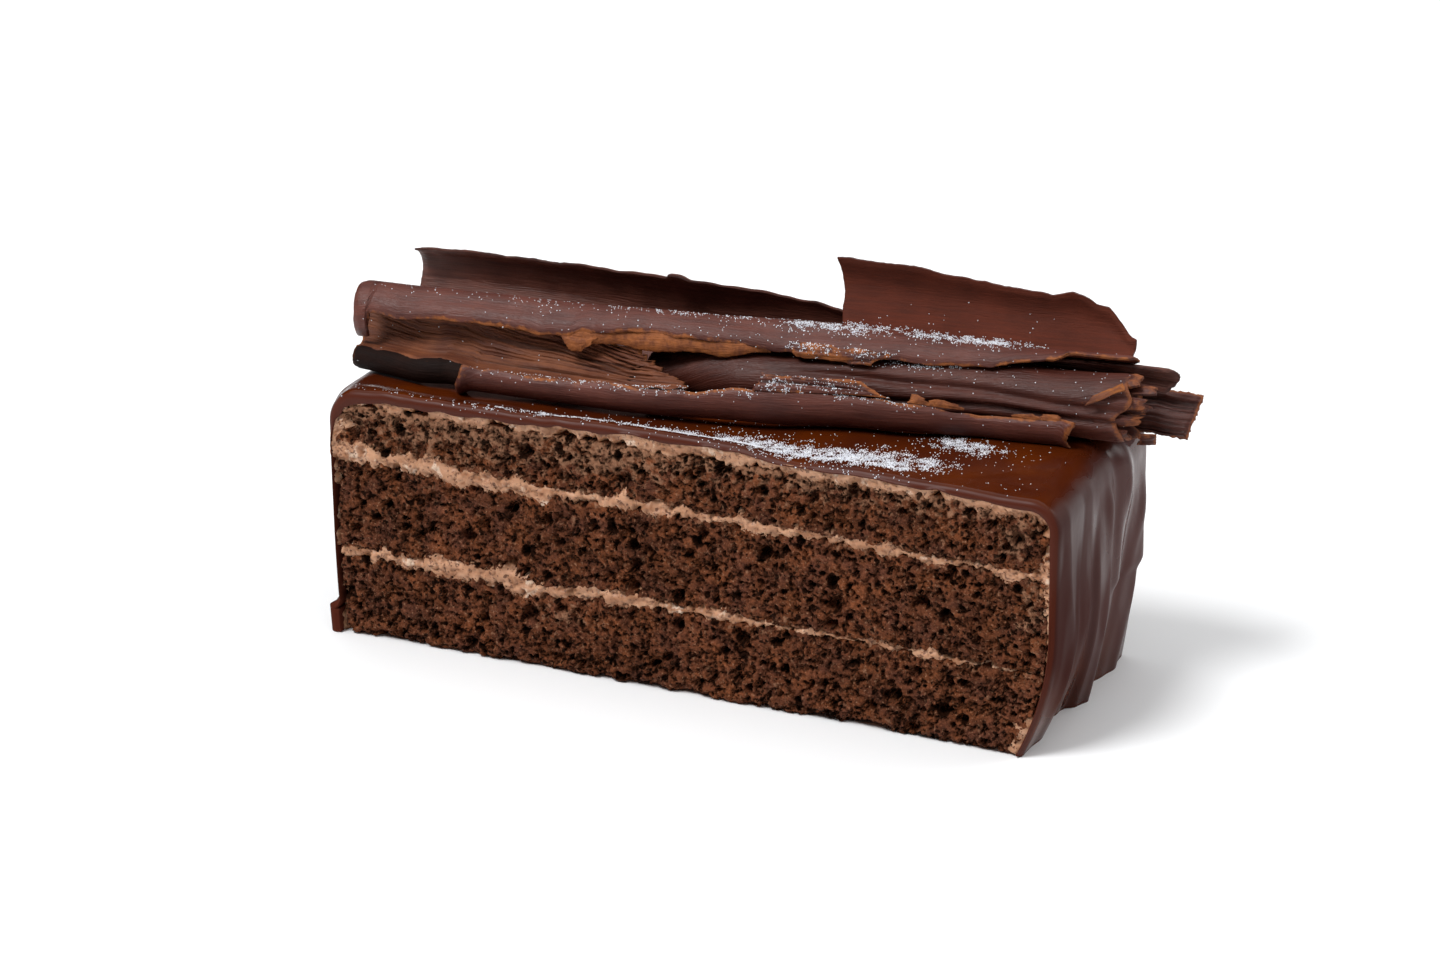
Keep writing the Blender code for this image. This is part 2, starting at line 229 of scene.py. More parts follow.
# The cut: bubbles of three sizes, crevices between clumps and fine grains, all pushed in from the cut
# face. "recess" is how far the face lies back before that, "crumb" how open it is, from 0 to 1.
cut, given, in_mm = new_tree(
    "knife cut", ["Material"],
    **{"Bubble depth": 1.0, "Crevice depth": 1.0, "Grain depth": 0.2, "Jitter": 0.3}
)
openness, recess = (
    add(cut, "GeometryNodeInputNamedAttribute", {"Name": label}, data_type="FLOAT")
    for label in ("crumb", "recess")
)
drift = add(cut, "ShaderNodeTexNoise", {"Vector": in_mm, "Scale": 0.8, "Detail": 3.0, "Roughness": 0.6})
drift = add(
    cut, "ShaderNodeVectorMath", {0: drift.outputs["Color"], 1: (0.5, 0.5, 0.5)}, operation="SUBTRACT"
)
drift = add(cut, "ShaderNodeVectorMath", {0: drift, 1: (1.5, 1.5, 1.5), 2: in_mm}, operation="MULTIPLY_ADD")
bubbles = 0.0
# Spacing, largest radius as a share of it, rarity and depth of each size of bubble
for spacing, largest, rarity, depth in ((3.6, 0.4, 0.4, 2.6), (2.0, 0.46, 0.25, 2.0), (1.15, 0.47, 0.3, 1.2)):
    cells = add(cut, "ShaderNodeTexVoronoi", {"Vector": drift, "Scale": 1 / spacing})
    chance = add(cut, "FunctionNodeSeparateColor", {0: cells.outputs["Color"]})
    reach = add(cut, "ShaderNodeMapRange", {0: chance, 1: rarity, 2: 1.0, 3: 0.0, 4: largest})
    inside = add(cut, "ShaderNodeMath", {0: reach, 1: cells.outputs["Distance"]}, operation="SUBTRACT")
    pit = add(
        cut, "ShaderNodeMapRange", {0: inside, 1: -0.02, 2: 0.13, 3: 0.0, 4: depth},
        interpolation_type="SMOOTHSTEP"
    )
    bubbles = add(cut, "ShaderNodeMath", {0: bubbles, 1: pit}, operation="MAXIMUM")
clumps = add(cut, "ShaderNodeTexVoronoi", {"Vector": drift, "Scale": 1 / 0.95}, feature="DISTANCE_TO_EDGE")
clumps = add(
    cut, "ShaderNodeMapRange", {0: clumps, 1: 0.17, 2: 0.0, 3: 0.0, 4: 1.0}, interpolation_type="SMOOTHSTEP"
)
loose = add(cut, "ShaderNodeTexNoise", {"Vector": drift, "Scale": 0.9, "Detail": 3.0, "Roughness": 0.65})
loose = add(
    cut, "ShaderNodeMapRange", {0: loose, 1: 0.56, 2: 0.36, 3: 0.15, 4: 1.0},
    interpolation_type="SMOOTHSTEP"
)
crevices = add(cut, "ShaderNodeMath", {0: clumps, 1: loose}, operation="MULTIPLY")
crevices = add(cut, "ShaderNodeMath", {0: loose, 1: 0.7, 2: crevices}, operation="MULTIPLY_ADD")
grains = add(cut, "ShaderNodeTexNoise", {"Vector": in_mm, "Scale": 1.8, "Detail": 3.0, "Roughness": 0.75})
grains = add(cut, "ShaderNodeMath", {0: grains, 1: 0.5}, operation="SUBTRACT")
swell = add(cut, "ShaderNodeTexNoise", {"Vector": in_mm, "Scale": 0.09, "Detail": 1.0})
swell = add(cut, "ShaderNodeMath", {0: swell, 1: 0.5}, operation="SUBTRACT")
depth = add(cut, "ShaderNodeMath", {0: bubbles, 1: given.outputs["Bubble depth"]}, operation="MULTIPLY")
depth = add(
    cut, "ShaderNodeMath", {0: crevices, 1: given.outputs["Crevice depth"], 2: depth},
    operation="MULTIPLY_ADD"
)
depth = add(
    cut, "ShaderNodeMath", {0: grains, 1: given.outputs["Grain depth"], 2: depth}, operation="MULTIPLY_ADD"
)
depth = add(cut, "ShaderNodeMath", {0: depth, 1: openness}, operation="MULTIPLY")
# hollow is how deep a point has been pushed in; the crumb material turns it into painted shade
hollow = add(cut, "ShaderNodeMath", {0: depth, 1: 1.8}, operation="DIVIDE", use_clamp=True)
depth = add(cut, "ShaderNodeMath", {0: depth, 1: recess}, operation="ADD")
depth = add(cut, "ShaderNodeMath", {0: swell, 1: 0.7, 2: depth}, operation="MULTIPLY_ADD")
height = add(cut, "ShaderNodeSeparateXYZ", {0: in_mm})
side = add(cut, "ShaderNodeMath", {0: height.outputs["Y"]}, operation="SIGN")
inwards = add(cut, "ShaderNodeMath", {0: side, 1: depth}, operation="MULTIPLY")
inwards = add(cut, "ShaderNodeMath", {0: inwards, 1: -1.0}, operation="MULTIPLY")
inwards = add(cut, "ShaderNodeCombineXYZ", {"Y": inwards})
jitter = add(cut, "ShaderNodeTexNoise", {"Vector": in_mm, "Scale": 1.3, "Detail": 1.0})
jitter = add(
    cut, "ShaderNodeVectorMath", {0: jitter.outputs["Color"], 1: (0.5, 0.5, 0.5)}, operation="SUBTRACT"
)
amount = add(cut, "ShaderNodeMath", {0: openness, 1: given.outputs["Jitter"]}, operation="MULTIPLY")
jitter = add(cut, "ShaderNodeVectorMath", {0: jitter, "Scale": amount}, operation="SCALE")
jitter = add(cut, "ShaderNodeVectorMath", {0: jitter, 1: (1.0, 0.0, 1.0)}, operation="MULTIPLY")
offset = add(cut, "ShaderNodeVectorMath", {0: inwards, 1: jitter}, operation="ADD")
offset = add(cut, "ShaderNodeVectorMath", {0: offset, "Scale": MM}, operation="SCALE")
shape = add(cut, "GeometryNodeSetPosition", {"Geometry": given.outputs["Geometry"], "Offset": offset})
shape = add(
    cut, "GeometryNodeStoreNamedAttribute", {"Geometry": shape, "Name": "hollow", "Value": hollow},
    data_type="FLOAT"
)
end_tree(cut, given, shape)


def new_material(name):
    """A material with only a Principled shader, its tree, that shader and the place of every point."""
    made = bpy.data.materials.new(name)
    made.use_nodes = True
    tree = made.node_tree
    return made, tree, tree.nodes["Principled BSDF"], add(tree, "ShaderNodeTexCoord").outputs["Object"]


# Cocoa sponge, baked and torn open by the knife: matt, moist crumb, with painted shade that turns its hollows
# and pores nearly black, and painted highlights as paler specks on its tips. Clumps run from reddish to
# greyish brown, and cream is smeared over it in places.
cocoa_crumb, tree, shader, here = new_material("cocoa_sponge_cut")
patches = mottle(tree, here, 4.0 * MM, 3.0, 0.35, 0.65)
tone = add(
    tree, "ShaderNodeMix", {"Factor": patches, "A": linear("#5e3728"), "B": linear("#77442a")},
    data_type="RGBA"
)
specks = mottle(tree, here, 0.55 * MM, 3.0, 0.34, 0.68, 0.58, 1.5, roughness=0.7)
broad = mottle(tree, here, 9.0 * MM, 2.0, 0.36, 0.64, 0.8, 1.14)
specks = add(tree, "ShaderNodeMath", {0: specks, 1: broad}, operation="MULTIPLY")
tone = add(tree, "ShaderNodeVectorMath", {0: tone, "Scale": specks}, operation="SCALE")
smear = add(tree, "ShaderNodeAttribute", attribute_name="smear").outputs["Fac"]
spread = add(
    tree, "ShaderNodeTexNoise", {"Vector": here, "Scale": 1 / (1.3 * MM), "Detail": 3.0, "Roughness": 0.6}
)
spread = add(tree, "ShaderNodeMath", {0: spread, 1: 0.5}, operation="SUBTRACT")
smear = add(tree, "ShaderNodeMath", {0: spread, 1: 3.0, 2: smear}, operation="MULTIPLY_ADD")
smear = add(tree, "ShaderNodeMapRange", {0: smear, 1: 0.4, 2: 0.8, 3: 0.0, 4: 0.9})
# painted highlights: sparse pale specks on the crumb's tips, standing in for the light they catch
tip_highlights = mottle(tree, here, 0.42 * MM, 2.0, 0.6, 0.7, 0.0, 0.65)
# painted shade: the deeper a point lies in the cut, and inside the pores below, the nearer its colour goes to
# black
hollow = add(tree, "ShaderNodeAttribute", attribute_name="hollow").outputs["Fac"]
hollow = add(tree, "ShaderNodeMapRange", {0: hollow, 1: 0.14, 2: 0.5, 3: 0.0, 4: 0.95})
bent = add(tree, "ShaderNodeTexNoise", {"Vector": here, "Scale": 1 / (0.9 * MM), "Detail": 2.0})
bent = add(
    tree, "ShaderNodeVectorMath", {0: bent.outputs["Color"], 1: (MM, MM, MM), 2: here},
    operation="MULTIPLY_ADD"
)
pores = add(tree, "ShaderNodeTexVoronoi", {"Vector": bent, "Scale": 1 / (0.75 * MM)})
rare = add(tree, "ShaderNodeSeparateColor", {0: pores.outputs["Color"]})
rare = add(tree, "ShaderNodeMapRange", {0: rare, 1: 0.45, 2: 1.0, 3: 0.0, 4: 0.6})
pores = add(tree, "ShaderNodeMath", {0: rare, 1: pores.outputs["Distance"]}, operation="SUBTRACT")
pores = add(tree, "ShaderNodeMapRange", {0: pores, 1: 0.0, 2: 0.16, 3: 0.0, 4: 0.9})
hollow = add(tree, "ShaderNodeMath", {0: hollow, 1: pores}, operation="MAXIMUM")
# over the crumb's tone: cream smears, the painted tip highlights and the painted shade of the hollows
for amount, colour in ((smear, "#9a6f55"), (tip_highlights, "#a97c5f"), (hollow, "#170600")):
    tone = add(tree, "ShaderNodeMix", {"Factor": amount, "A": tone, "B": linear(colour)}, data_type="RGBA")
wet = mottle(tree, here, 0.5 * MM, 1.0, 0.35, 0.65, 0.4, 0.85)
fine = add(
    tree, "ShaderNodeTexNoise", {"Vector": here, "Scale": 1 / (0.6 * MM), "Detail": 3.0, "Roughness": 0.7}
)
fine = add(tree, "ShaderNodeMath", {0: pores, 1: -0.6, 2: fine}, operation="MULTIPLY_ADD")
bump = add(tree, "ShaderNodeBump", {"Height": fine, "Distance": 0.7 * MM, "Strength": 1.0})
feed(
    tree, shader,
    {"Base Color": tone, "Roughness": wet, "Normal": bump, "IOR": 1.45, "Specular IOR Level": 0.06}
)


def sponge_left(z):
    return -SPONGE_END + LEFT_LEAN * np.maximum(0.0, 1.0 - z / LEAN_HEIGHT) ** 2


def sponge_right(z, y):
    lean = np.interp(y, LEAN_DEPTHS, LEAN_AMOUNTS)
    return SPONGE_END - lean * np.maximum(0.0, 1.0 - z / LEAN_HEIGHT) ** 2


def rounded_top(x):
    """The crumb's upper edge, with rounded corners."""
    corner = SPONGE_CORNER + CRUMB_REACH
    past = np.clip(np.abs(x) - (SPONGE_END - SPONGE_CORNER), 0.0, corner)
    return SPONGE_TOP - SPONGE_CORNER + np.sqrt(np.maximum(corner**2 - past**2, 0.0))


def lower_seam(x):
    return LOWER_FILLING + along(x, (-60, 0.1), (-32, 0.3), (-24, -0.8), (-14, 0.2), (30, 0.0), (60, -0.6))


def upper_seam(x):
    return UPPER_FILLING + along(x, (-60, 0.4), (-45, 0.3), (-30, -0.6), (5, -0.4), (38, -1.2), (60, -1.6))


def sponge(name, bottom, top, rim, seams, extra):
    """One layer between two heights, with a fine grid on each cut side. rim is how far its long edges are
    rounded off, seams how much cream is smeared along them, and extra gives what is added to each mark at
    (x, z, side)."""
    station = np.linspace(0.0, 1.0, round(2 * SPONGE_END / CRUMB_STEP))[:, None]
    plain_x = (SPONGE_END + CRUMB_REACH) * (2.0 * station - 1.0)
    low, high = bottom(plain_x), top(plain_x)
    share = np.linspace(0.0, 1.0, round(float(np.max(high - low)) / CRUMB_STEP))[None, :]
    z = low + (high - low) * share
    from_low, from_high = z - low, high - z
    grids, marks = [], []
    for y in (-HALF_WIDTH, HALF_WIDTH):
        left, right = sponge_left(z) - CRUMB_REACH, sponge_right(z, y) + CRUMB_REACH
        x = left + (right - left) * station
        grids.append(np.stack([x, np.full_like(x, y), z], axis=2))
        recess, smear = extra(x, z, y)
        for edge, distance in enumerate((from_low, from_high)):
            recess = recess + rim[edge] * np.exp(-distance / RIM_WIDTH)
            smear = smear + seams[edge] * np.exp(-distance / SMEAR_WIDTH)
        marks.append((recess, smear))
    recess, smear = zip(*marks)
    return make_piece(name, slab(*grids, recess=recess, smear=smear, crumb=1.0))


def bottom_extra(x, z, y):
    torn = ease(ragged(x, 3 + int(y > 0), 2.1, 1.0), -0.1, 0.8) * (1.0 - ease(z, 0.0, 2.6))
    torn = torn + 0.9 * ease(ragged(x, 5 + int(y > 0), 0.9, 1.0), 0.0, 0.8) * (1.0 - ease(z, 0.0, 1.2))
    recess = torn + 1.6 * hump(x, z, -21.0, 2.4, 1.6, 1.0) + 1.6 * hump(x, z, -36.0, 2.6, 1.4, 0.9)
    smear = 0.5 * hump(x, z, -20.0, 10.0, 9.0, 2.0)
    return recess, smear


def middle_extra(x, z, y):
    recess = 1.9 * hump(x, z, -5.5, 23.3, 1.0, 0.9) + 1.7 * hump(x, z, -28.0, 26.8, 1.2, 0.9)
    return recess, 0.6 * hump(x, z, 56.0, 24.0, 2.0, 6.0)


def top_extra(x, z, y):
    recess = 2.6 * hump(x, z, -9.5, 34.0, 1.5, 1.3) + 1.8 * hump(x, z, -55.0, 35.5, 1.4, 1.6)
    smear = 0.5 * ease(z, 33.0, 38.5) + 0.45 * hump(x, z, -42.0, 35.0, 16.0, 4.0)
    smear = smear + hump(x, z, 53.0, 34.0, 2.4, 2.2) + 0.4 * hump(x, z, -12.0, 35.0, 12.0, 4.0)
    return recess, smear


for name, bottom, top, rim, seams, extra in (
    (
        "sponge_bottom", lambda x: 0.0, lambda x: lower_seam(x) - SEAM_GAP, (1.1, 0.9), (0.0, 0.5),
        bottom_extra
    ),
    (
        "sponge_middle", lambda x: lower_seam(x) + SEAM_GAP, lambda x: upper_seam(x) - SEAM_GAP, (0.9, 0.9),
        (0.55, 0.6), middle_extra
    ),
    ("sponge_top", lambda x: upper_seam(x) + SEAM_GAP, rounded_top, (0.9, 0.3), (0.7, 0.6), top_extra),
):
    piece = sponge(name + "_crumb", bottom, top, rim, seams, extra)
    run_tree(piece, cut, **{"Material": cocoa_crumb, "Crevice depth": 0.7, "Grain depth": 0.5, "Jitter": 0.5})
    settle(piece, "sponge", name)


# ==== Fillings and coat ====
# Milk chocolate cream, spread between the layers and thinly over the whole cake before glazing. The knife
# drags it over the crumb, so its edges on the cut are ragged, with blobs pressed into the bubbles.

CREAM_STEP = 0.25  # spacing of the points on a band of cream
CREAM_REACH = 3.2  # how far a band reaches to each side of its middle, torn edges included
CREAM_DIVE = ((-1.5, -0.15), (-0.2, 0.1), (0.25, 0.8), (1.0, 2.6))  # how deep cream dives past its torn edge

# Whipped chocolate cream, spread and cut: soft satin, tan with a pink cast, paler where it is smeared.
cream, tree, shader, here = new_material("chocolate_cream_spread")
streaks = add(tree, "ShaderNodeMapping", {"Vector": here, "Scale": (0.4, 1.0, 1.0)})
streaks = mottle(tree, streaks, 1.6 * MM, 3.0, 0.35, 0.65)
tone = add(
    tree, "ShaderNodeMix", {"Factor": streaks, "A": linear("#9c6a49"), "B": linear("#c99877")},
    data_type="RGBA"
)
airy = mottle(tree, here, 3.0 * MM, 3.0, 0.6, 0.68, roughness=0.6)
flecks = mottle(tree, here, 0.7 * MM, 3.0, 0.57, 0.65, 0.0, 0.85, roughness=0.6)
for amount, colour in ((airy, "#d9bba3"), (flecks, "#5f3824")):
    tone = add(tree, "ShaderNodeMix", {"Factor": amount, "A": tone, "B": linear(colour)}, data_type="RGBA")
fine = add(tree, "ShaderNodeTexNoise", {"Vector": here, "Scale": 1 / (0.6 * MM), "Detail": 2.0})
bump = add(tree, "ShaderNodeBump", {"Height": fine, "Distance": 0.15 * MM, "Strength": 0.5})
feed(tree, shader, {
    "Base Color": tone, "Roughness": 0.5, "Normal": bump, "IOR": 1.45, "Subsurface Weight": 0.15,
    "Subsurface Radius": (1.0, 0.55, 0.35), "Subsurface Scale": 0.8 * MM
})


def torn_line(run, seed):
    """How far a cream's edge strays, in broad tongues, short tongues and specks."""
    return ragged(run, seed, 3.3, 0.65) + ragged(run, seed + 1, 1.3, 0.75) + ragged(run, seed + 2, 0.55, 0.55)


def filling(name, seam, thick, level, seed):
    """A band of cream that runs through the slice along a seam. Its torn edges stray from its thickness, and
    past them the cream dives into the crumb. level is how far the band itself lies back from the cut."""
    run = np.linspace(-SPONGE_END - CRUMB_REACH, SPONGE_END + CRUMB_REACH, round(2 * SPONGE_END / CREAM_STEP))
    reach = np.linspace(-CREAM_REACH, CREAM_REACH, round(2 * CREAM_REACH / CREAM_STEP))
    run, reach = np.meshgrid(run, reach, indexing="ij")
    share = (run - run[0, 0]) / (run[-1, 0] - run[0, 0])
    z = seam(run) + reach
    grids, recesses = [], []
    for y in (-HALF_WIDTH, HALF_WIDTH):
        left, right = sponge_left(z) - CRUMB_REACH, sponge_right(z, y) + CRUMB_REACH
        x = left + (right - left) * share
        turned = seed + 20 * int(y > 0)
        strays = np.where(reach > 0, torn_line(run, turned), torn_line(run, turned + 5))
        past = np.abs(reach) - thick(run) / 2 + strays
        grids.append(np.stack([x, np.full_like(x, y), z], axis=2))
        recesses.append(level(run) + along(past, *CREAM_DIVE))
    piece = make_piece(name + "_spread", slab(*grids, recess=tuple(recesses), crumb=1.0))
    run_tree(
        piece, cut, **{"Material": cream, "Bubble depth": 0.3, "Crevice depth": 0.45, "Grain depth": 0.8}
    )
    settle(piece, "cream", name)


def lower_thick(x):
    return along(
        x, (-58, 2.2), (-46, 2.4), (-40, 3.8), (-33, 2.4), (-28, 4.4), (-22, 2.8), (-12, 2.2), (8, 1.6),
        (16, 0.9), (36, 0.8), (42, 2.1), (48, 0.8), (57, -0.4)
    )


def lower_level(x):
    return along(x, (-60, 0.05), (8, 0.1), (18, 0.45), (36, 0.45), (42, 0.15), (50, 0.6), (58, 1.0))


def upper_thick(x):
    return along(
        x, (-58, 3.6), (-50, 2.7), (-44, 4.2), (-36, 3.2), (-26, 2.8), (-14, 2.0), (0, 1.6), (10, 2.2),
        (22, 1.1), (34, 1.6), (44, 1.0), (51, 1.9), (57, 0.9)
    )


def upper_level(x):
    return along(x, (-60, 0.0), (12, 0.1), (24, 0.3), (32, 0.15), (44, 0.35), (52, 0.1), (58, 0.3))


filling("cream_lower", lower_seam, lower_thick, lower_level, 21)
filling("cream_upper", upper_seam, upper_thick, upper_level, 121)


def wrap_path(out_side, out_top, y, step):
    """Points x, z of the upside-down U round the sponge at depth y, this far outside it, left foot first."""
    corner = SPONGE_TOP - SPONGE_CORNER
    flat = SPONGE_END - SPONGE_CORNER
    heights = np.linspace(0.0, corner, round(corner / step))[:-1]
    turn = np.linspace(0.0, np.pi / 2, 12)
    bend_x = flat + (SPONGE_CORNER + out_side) * np.cos(turn)
    bend_z = corner + (SPONGE_CORNER + out_top) * np.sin(turn)
    across = np.linspace(-flat, flat, round(2 * flat / step))[1:-1]
    x = np.concatenate([
        sponge_left(heights) - out_side, -bend_x, across, bend_x[::-1],
        sponge_right(heights[::-1], y) + out_side
    ])
    z = np.concatenate([heights, bend_z, 0.0 * across + SPONGE_TOP + out_top, bend_z[::-1], heights[::-1]])
    return x, z


GLAZE_SIDE = 2.65  # how far the glaze's outside lies outside the sponge at the ends
GLAZE_TOP = 3.2  # and above it
GLAZE_LEVEL = SPONGE_TOP + GLAZE_TOP
FOOT_HEIGHT = 5.5  # of the glaze's foot at the left end
FOOT_REACH = 1.9
COAT_OVERLAP = 0.3  # how far the coat starts inside the glaze
COAT_BACK = 0.25  # how far its cut face lies back from the cut
STRIP_REACH = 6.0  # how far that face reaches into the crumb, torn edge included
STRIP_DEPTH = 4.0  # how deep it is followed into the cake
STRIP_SINK = 1.6  # how far its hidden side dives into the crumb


def glaze_outside(y, step):
    """Outer points x, z of the glaze at depth y: it lies thick over the top's long edges, hangs down the
    right end in runs and ends in a foot on the left."""
    x, z = wrap_path(GLAZE_SIDE, GLAZE_TOP, y, step)
    down = 1.0 - ease(z, GLAZE_LEVEL - 9.0, GLAZE_LEVEL - 1.5)
    sway = y + 1.4 * np.sin(z / 9.0 + y / 7.0) + 0.5 * np.sin(z / 4.1 + 1.0)
    runs = (  # place along Y, width, depth, and height where each run starts
        (-14.0, 2.4, 0.6, 30.0), (-7.0, 1.6, -0.5, 24.0), (3.2, 1.5, 0.7, 36.0), (10.5, 1.7, -0.7, 28.0),
        (16.5, 1.8, 0.7, 32.0),
    )
    relief = sum(
        rise * np.exp(-(((sway - place) / spread) ** 2)) * (1.0 - ease(z, start - 10.0, start + 6.0))
        for place, spread, rise, start in runs
    )
    fold = 1.0 * ease(sway, -2.0, -0.6) * (1.0 - 0.8 * ease(sway, 0.2, 6.0)) * (1.0 - ease(z, 22.0, 36.0))
    hanging = ease(y, 5.4, 8.6) * (1.0 - 0.75 * hump(y, z, 11.5, 14.0, 2.6, 6.0)) * ease(z, 15.5, 18.5)
    belly = 0.35 * hump(y, z, -12.0, 14.0, 6.0, 9.0) + 0.5 * hump(y, z, 14.0, 32.0, 6.0, 6.0)
    sags = 0.6 * hump(y, z, 3.0, 33.0, 1.3, 3.5) + 0.7 * hump(y, z, 10.0, 34.0, 1.4, 5.0)
    sags = sags + 0.5 * hump(y - 0.25 * (z - 26.0), z, 16.5, 27.0, 1.3, 7.0)
    sags = sags + 0.3 * hump(y, z, -17.0, 32.0, 2.0, 4.0)
    right = relief * down + fold + 0.9 * hanging + belly + sags
    behind = ease(y, -HALF_WIDTH, -HALF_WIDTH + 4.0)
    foot_top = FOOT_HEIGHT * (1.0 + behind * (0.22 * np.sin(y / 2.9) + 0.12 * np.sin(y / 1.3 + 2.0) - 0.1))
    foot = FOOT_REACH * (1.0 + behind * (0.25 * np.sin(y / 4.1 + 0.6) + 0.12 * np.sin(y / 1.7)))
    foot = foot * (1.0 - ease(z, foot_top - 0.9 - 1.6 * behind, foot_top + 0.6 + 0.6 * behind))
    bulge = 1.2 * ease(y, -HALF_WIDTH, -HALF_WIDTH + 5.0) * ease(z, GLAZE_LEVEL - 13.0, GLAZE_LEVEL - 3.0)
    left = foot + bulge + 0.9 * relief * down * behind
    rim = along(
        x, (-58, 0.2), (-50, 0.8), (-32, 1.0), (-20, 1.2), (-5, 1.4), (9, 1.3), (19, 0.0), (29, 0.4),
        (41, 0.0), (50, -0.2), (57, 0.0)
    )
    rim = rim * ease(abs(y), HALF_WIDTH - 5.5, HALF_WIDTH - 0.5)
    swell = 0.12 * np.sin(x / 7.0 + y / 5.0) + 0.08 * np.sin(x / 3.1 - y / 4.0 + 1.0)
    lumps = np.sin(x / 1.3 + 2.0 * np.sin(x / 3.7)) * np.sin(y / 0.9 + x / 5.0)
    lumps = lumps * (1.0 - ease(x, -20.0, 10.0)) * ease(abs(y), HALF_WIDTH - 6.0, HALF_WIDTH - 1.0)
    swell = swell + 0.1 * lumps
    z = z + (rim + swell) * ease(z, GLAZE_LEVEL - 2.0, GLAZE_LEVEL)
    return x + np.where(x > 0, right, -left), z


def glaze_thick(x, z):
    """How thick the glaze is where it is cut."""
    top = along(
        x, (-56, 2.0), (-48, 1.9), (-35, 1.8), (-28, 1.7), (-20, 1.3), (-12, 1.7), (-7, 1.0), (-3, 1.5),
        (3, 1.2), (10, 1.1), (20, 0.8), (30, 1.1), (40, 1.1), (50, 1.3), (57, 1.6)
    )
    left = along(z, (0, 2.0), (4.5, 2.0), (6.5, 0.5), (33, 0.5), (36, 1.2), (39, 2.0))
    right = along(z, (0, 0.9), (8, 1.0), (20, 1.1), (36, 1.4))
    sides = np.where(x < 0, left, right)
    strays = 0.25 * ragged(x + z, 7, 2.3, 1.0) * ease(z, 30.0, 38.0)
    return sides + (top - sides) * ease(z, GLAZE_LEVEL - 3.5, GLAZE_LEVEL - 1.5) + strays


def glaze_inside(y, step):
    """Points x, z of the glaze's underside at depth y, and the directions into the cake."""
    x, z = glaze_outside(y, step)
    dx, dz = np.gradient(x), np.gradient(z)
    length = np.hypot(dx, dz)
    in_x, in_z = dz / length, -dx / length
    thick = glaze_thick(x, z)
    return x + in_x * thick, np.maximum(z + in_z * thick, 0.0), in_x, in_z


coat_x, coat_z = wrap_path(GLAZE_SIDE, GLAZE_TOP, -HALF_WIDTH, CREAM_STEP)
coat_run = np.concatenate([[0.0], np.cumsum(np.hypot(np.diff(coat_x), np.diff(coat_z)))])


def coat_place(reach, y):
    """Points x, z of the coat at depth y, this far in from the glaze's underside."""
    x, z, in_x, in_z = (part[:, None] for part in glaze_inside(y, CREAM_STEP))
    depth = reach - COAT_OVERLAP
    return x + depth * in_x, np.maximum(z + depth * in_z, 0.0)


def coat_edge(run, reach, y):
    """How far a point lies past the coat's torn inner edge."""
    at = run if y < 0 else run[-1, 0] - run
    x = np.interp(at, coat_run, coat_x)
    z = np.interp(at, coat_run, coat_z)
    top = along(
        x, (-58, 0.4), (-53, 0.6), (-49, 3.0), (-45, 0.9), (-38, 0.8), (-30, 1.0), (-24, 1.7), (-18, 1.2),
        (-8, 1.8), (0, 2.3), (6, 2.1), (14, 1.7), (24, 1.6), (34, 1.4), (44, 1.7), (48, 3.2), (52, 1.7),
        (57, 1.4)
    )
    left = along(z, (0, -0.6), (27, -0.6), (31, 1.1), (36, 2.0), (39, 1.6))
    right = along(z, (0, 2.5), (4.5, 2.9), (6.5, -0.3), (9, -0.2), (20, 0.4), (23, 1.1), (34, 1.1), (39, 1.3))
    sides = np.where(x < 0, left, right)
    thick = sides + (top - sides) * ease(z, GLAZE_LEVEL - 4.0, GLAZE_LEVEL - 2.0)
    return reach - COAT_OVERLAP - thick + torn_line(at, 81)


def coat_strip(y):
    """The coat where it is cut, and a little way into the cake."""
    deep_y = y - STRIP_DEPTH * np.sign(y)
    reach = np.linspace(0.0, STRIP_REACH, round(STRIP_REACH / CREAM_STEP))
    run, reach = np.meshgrid(coat_run, reach, indexing="ij")
    x, z = coat_place(reach, y)
    deep_x, deep_z = coat_place(reach + STRIP_SINK, deep_y)
    past = coat_edge(run, reach, y)
    recess = COAT_BACK + along(past, *CREAM_DIVE)
    face = np.stack([x, np.full_like(x, y), z], axis=2)
    hidden = np.stack([deep_x, np.full_like(x, deep_y), deep_z], axis=2)
    return slab(face, hidden, recess=(recess, 0.0), crumb=(1.0, 0.0))


def coat_shell(out):
    """The coat between its two cut faces, this far outside the sponge."""
    lines = []
    half_length = HALF_WIDTH - STRIP_DEPTH + 1.0  # it overlaps the strips a little
    for y in np.linspace(-half_length, half_length, 8):
        x, z = wrap_path(out, out, y, 2.0)
        lines.append(np.stack([x, np.full_like(x, y), z], axis=1))
    return np.array(lines)


coat_core = slab(coat_shell(0.1), coat_shell(1.2), recess=0.0, crumb=0.0)
coat = make_piece("cream_coat_spread", coat_strip(-HALF_WIDTH), coat_strip(HALF_WIDTH), coat_core)
run_tree(coat, cut, **{"Material": cream, "Bubble depth": 0.15, "Crevice depth": 0.3, "Grain depth": 0.5})
settle(coat, "cream", "cream_coat")


# ==== Glaze ====
# Chocolate glaze, poured warm over the coated cake so that it flows down both ends, where it sets in
# runs and a foot. The knife leaves a smooth cut band along the top edge of both long sides.

GLAZE_STEP = 0.5  # spacing of the points along a cross-section
OUTER_RINGS = 110  # cross-sections of the outside between the rounded edges
INNER_RINGS = 10
LIP = 1.2  # radius of the rounded edge at the cut
PROUD = 0.15  # how far the glaze stands out from the cut
BAND_RINGS = 4  # cross-sections at each side that belong to the cut band
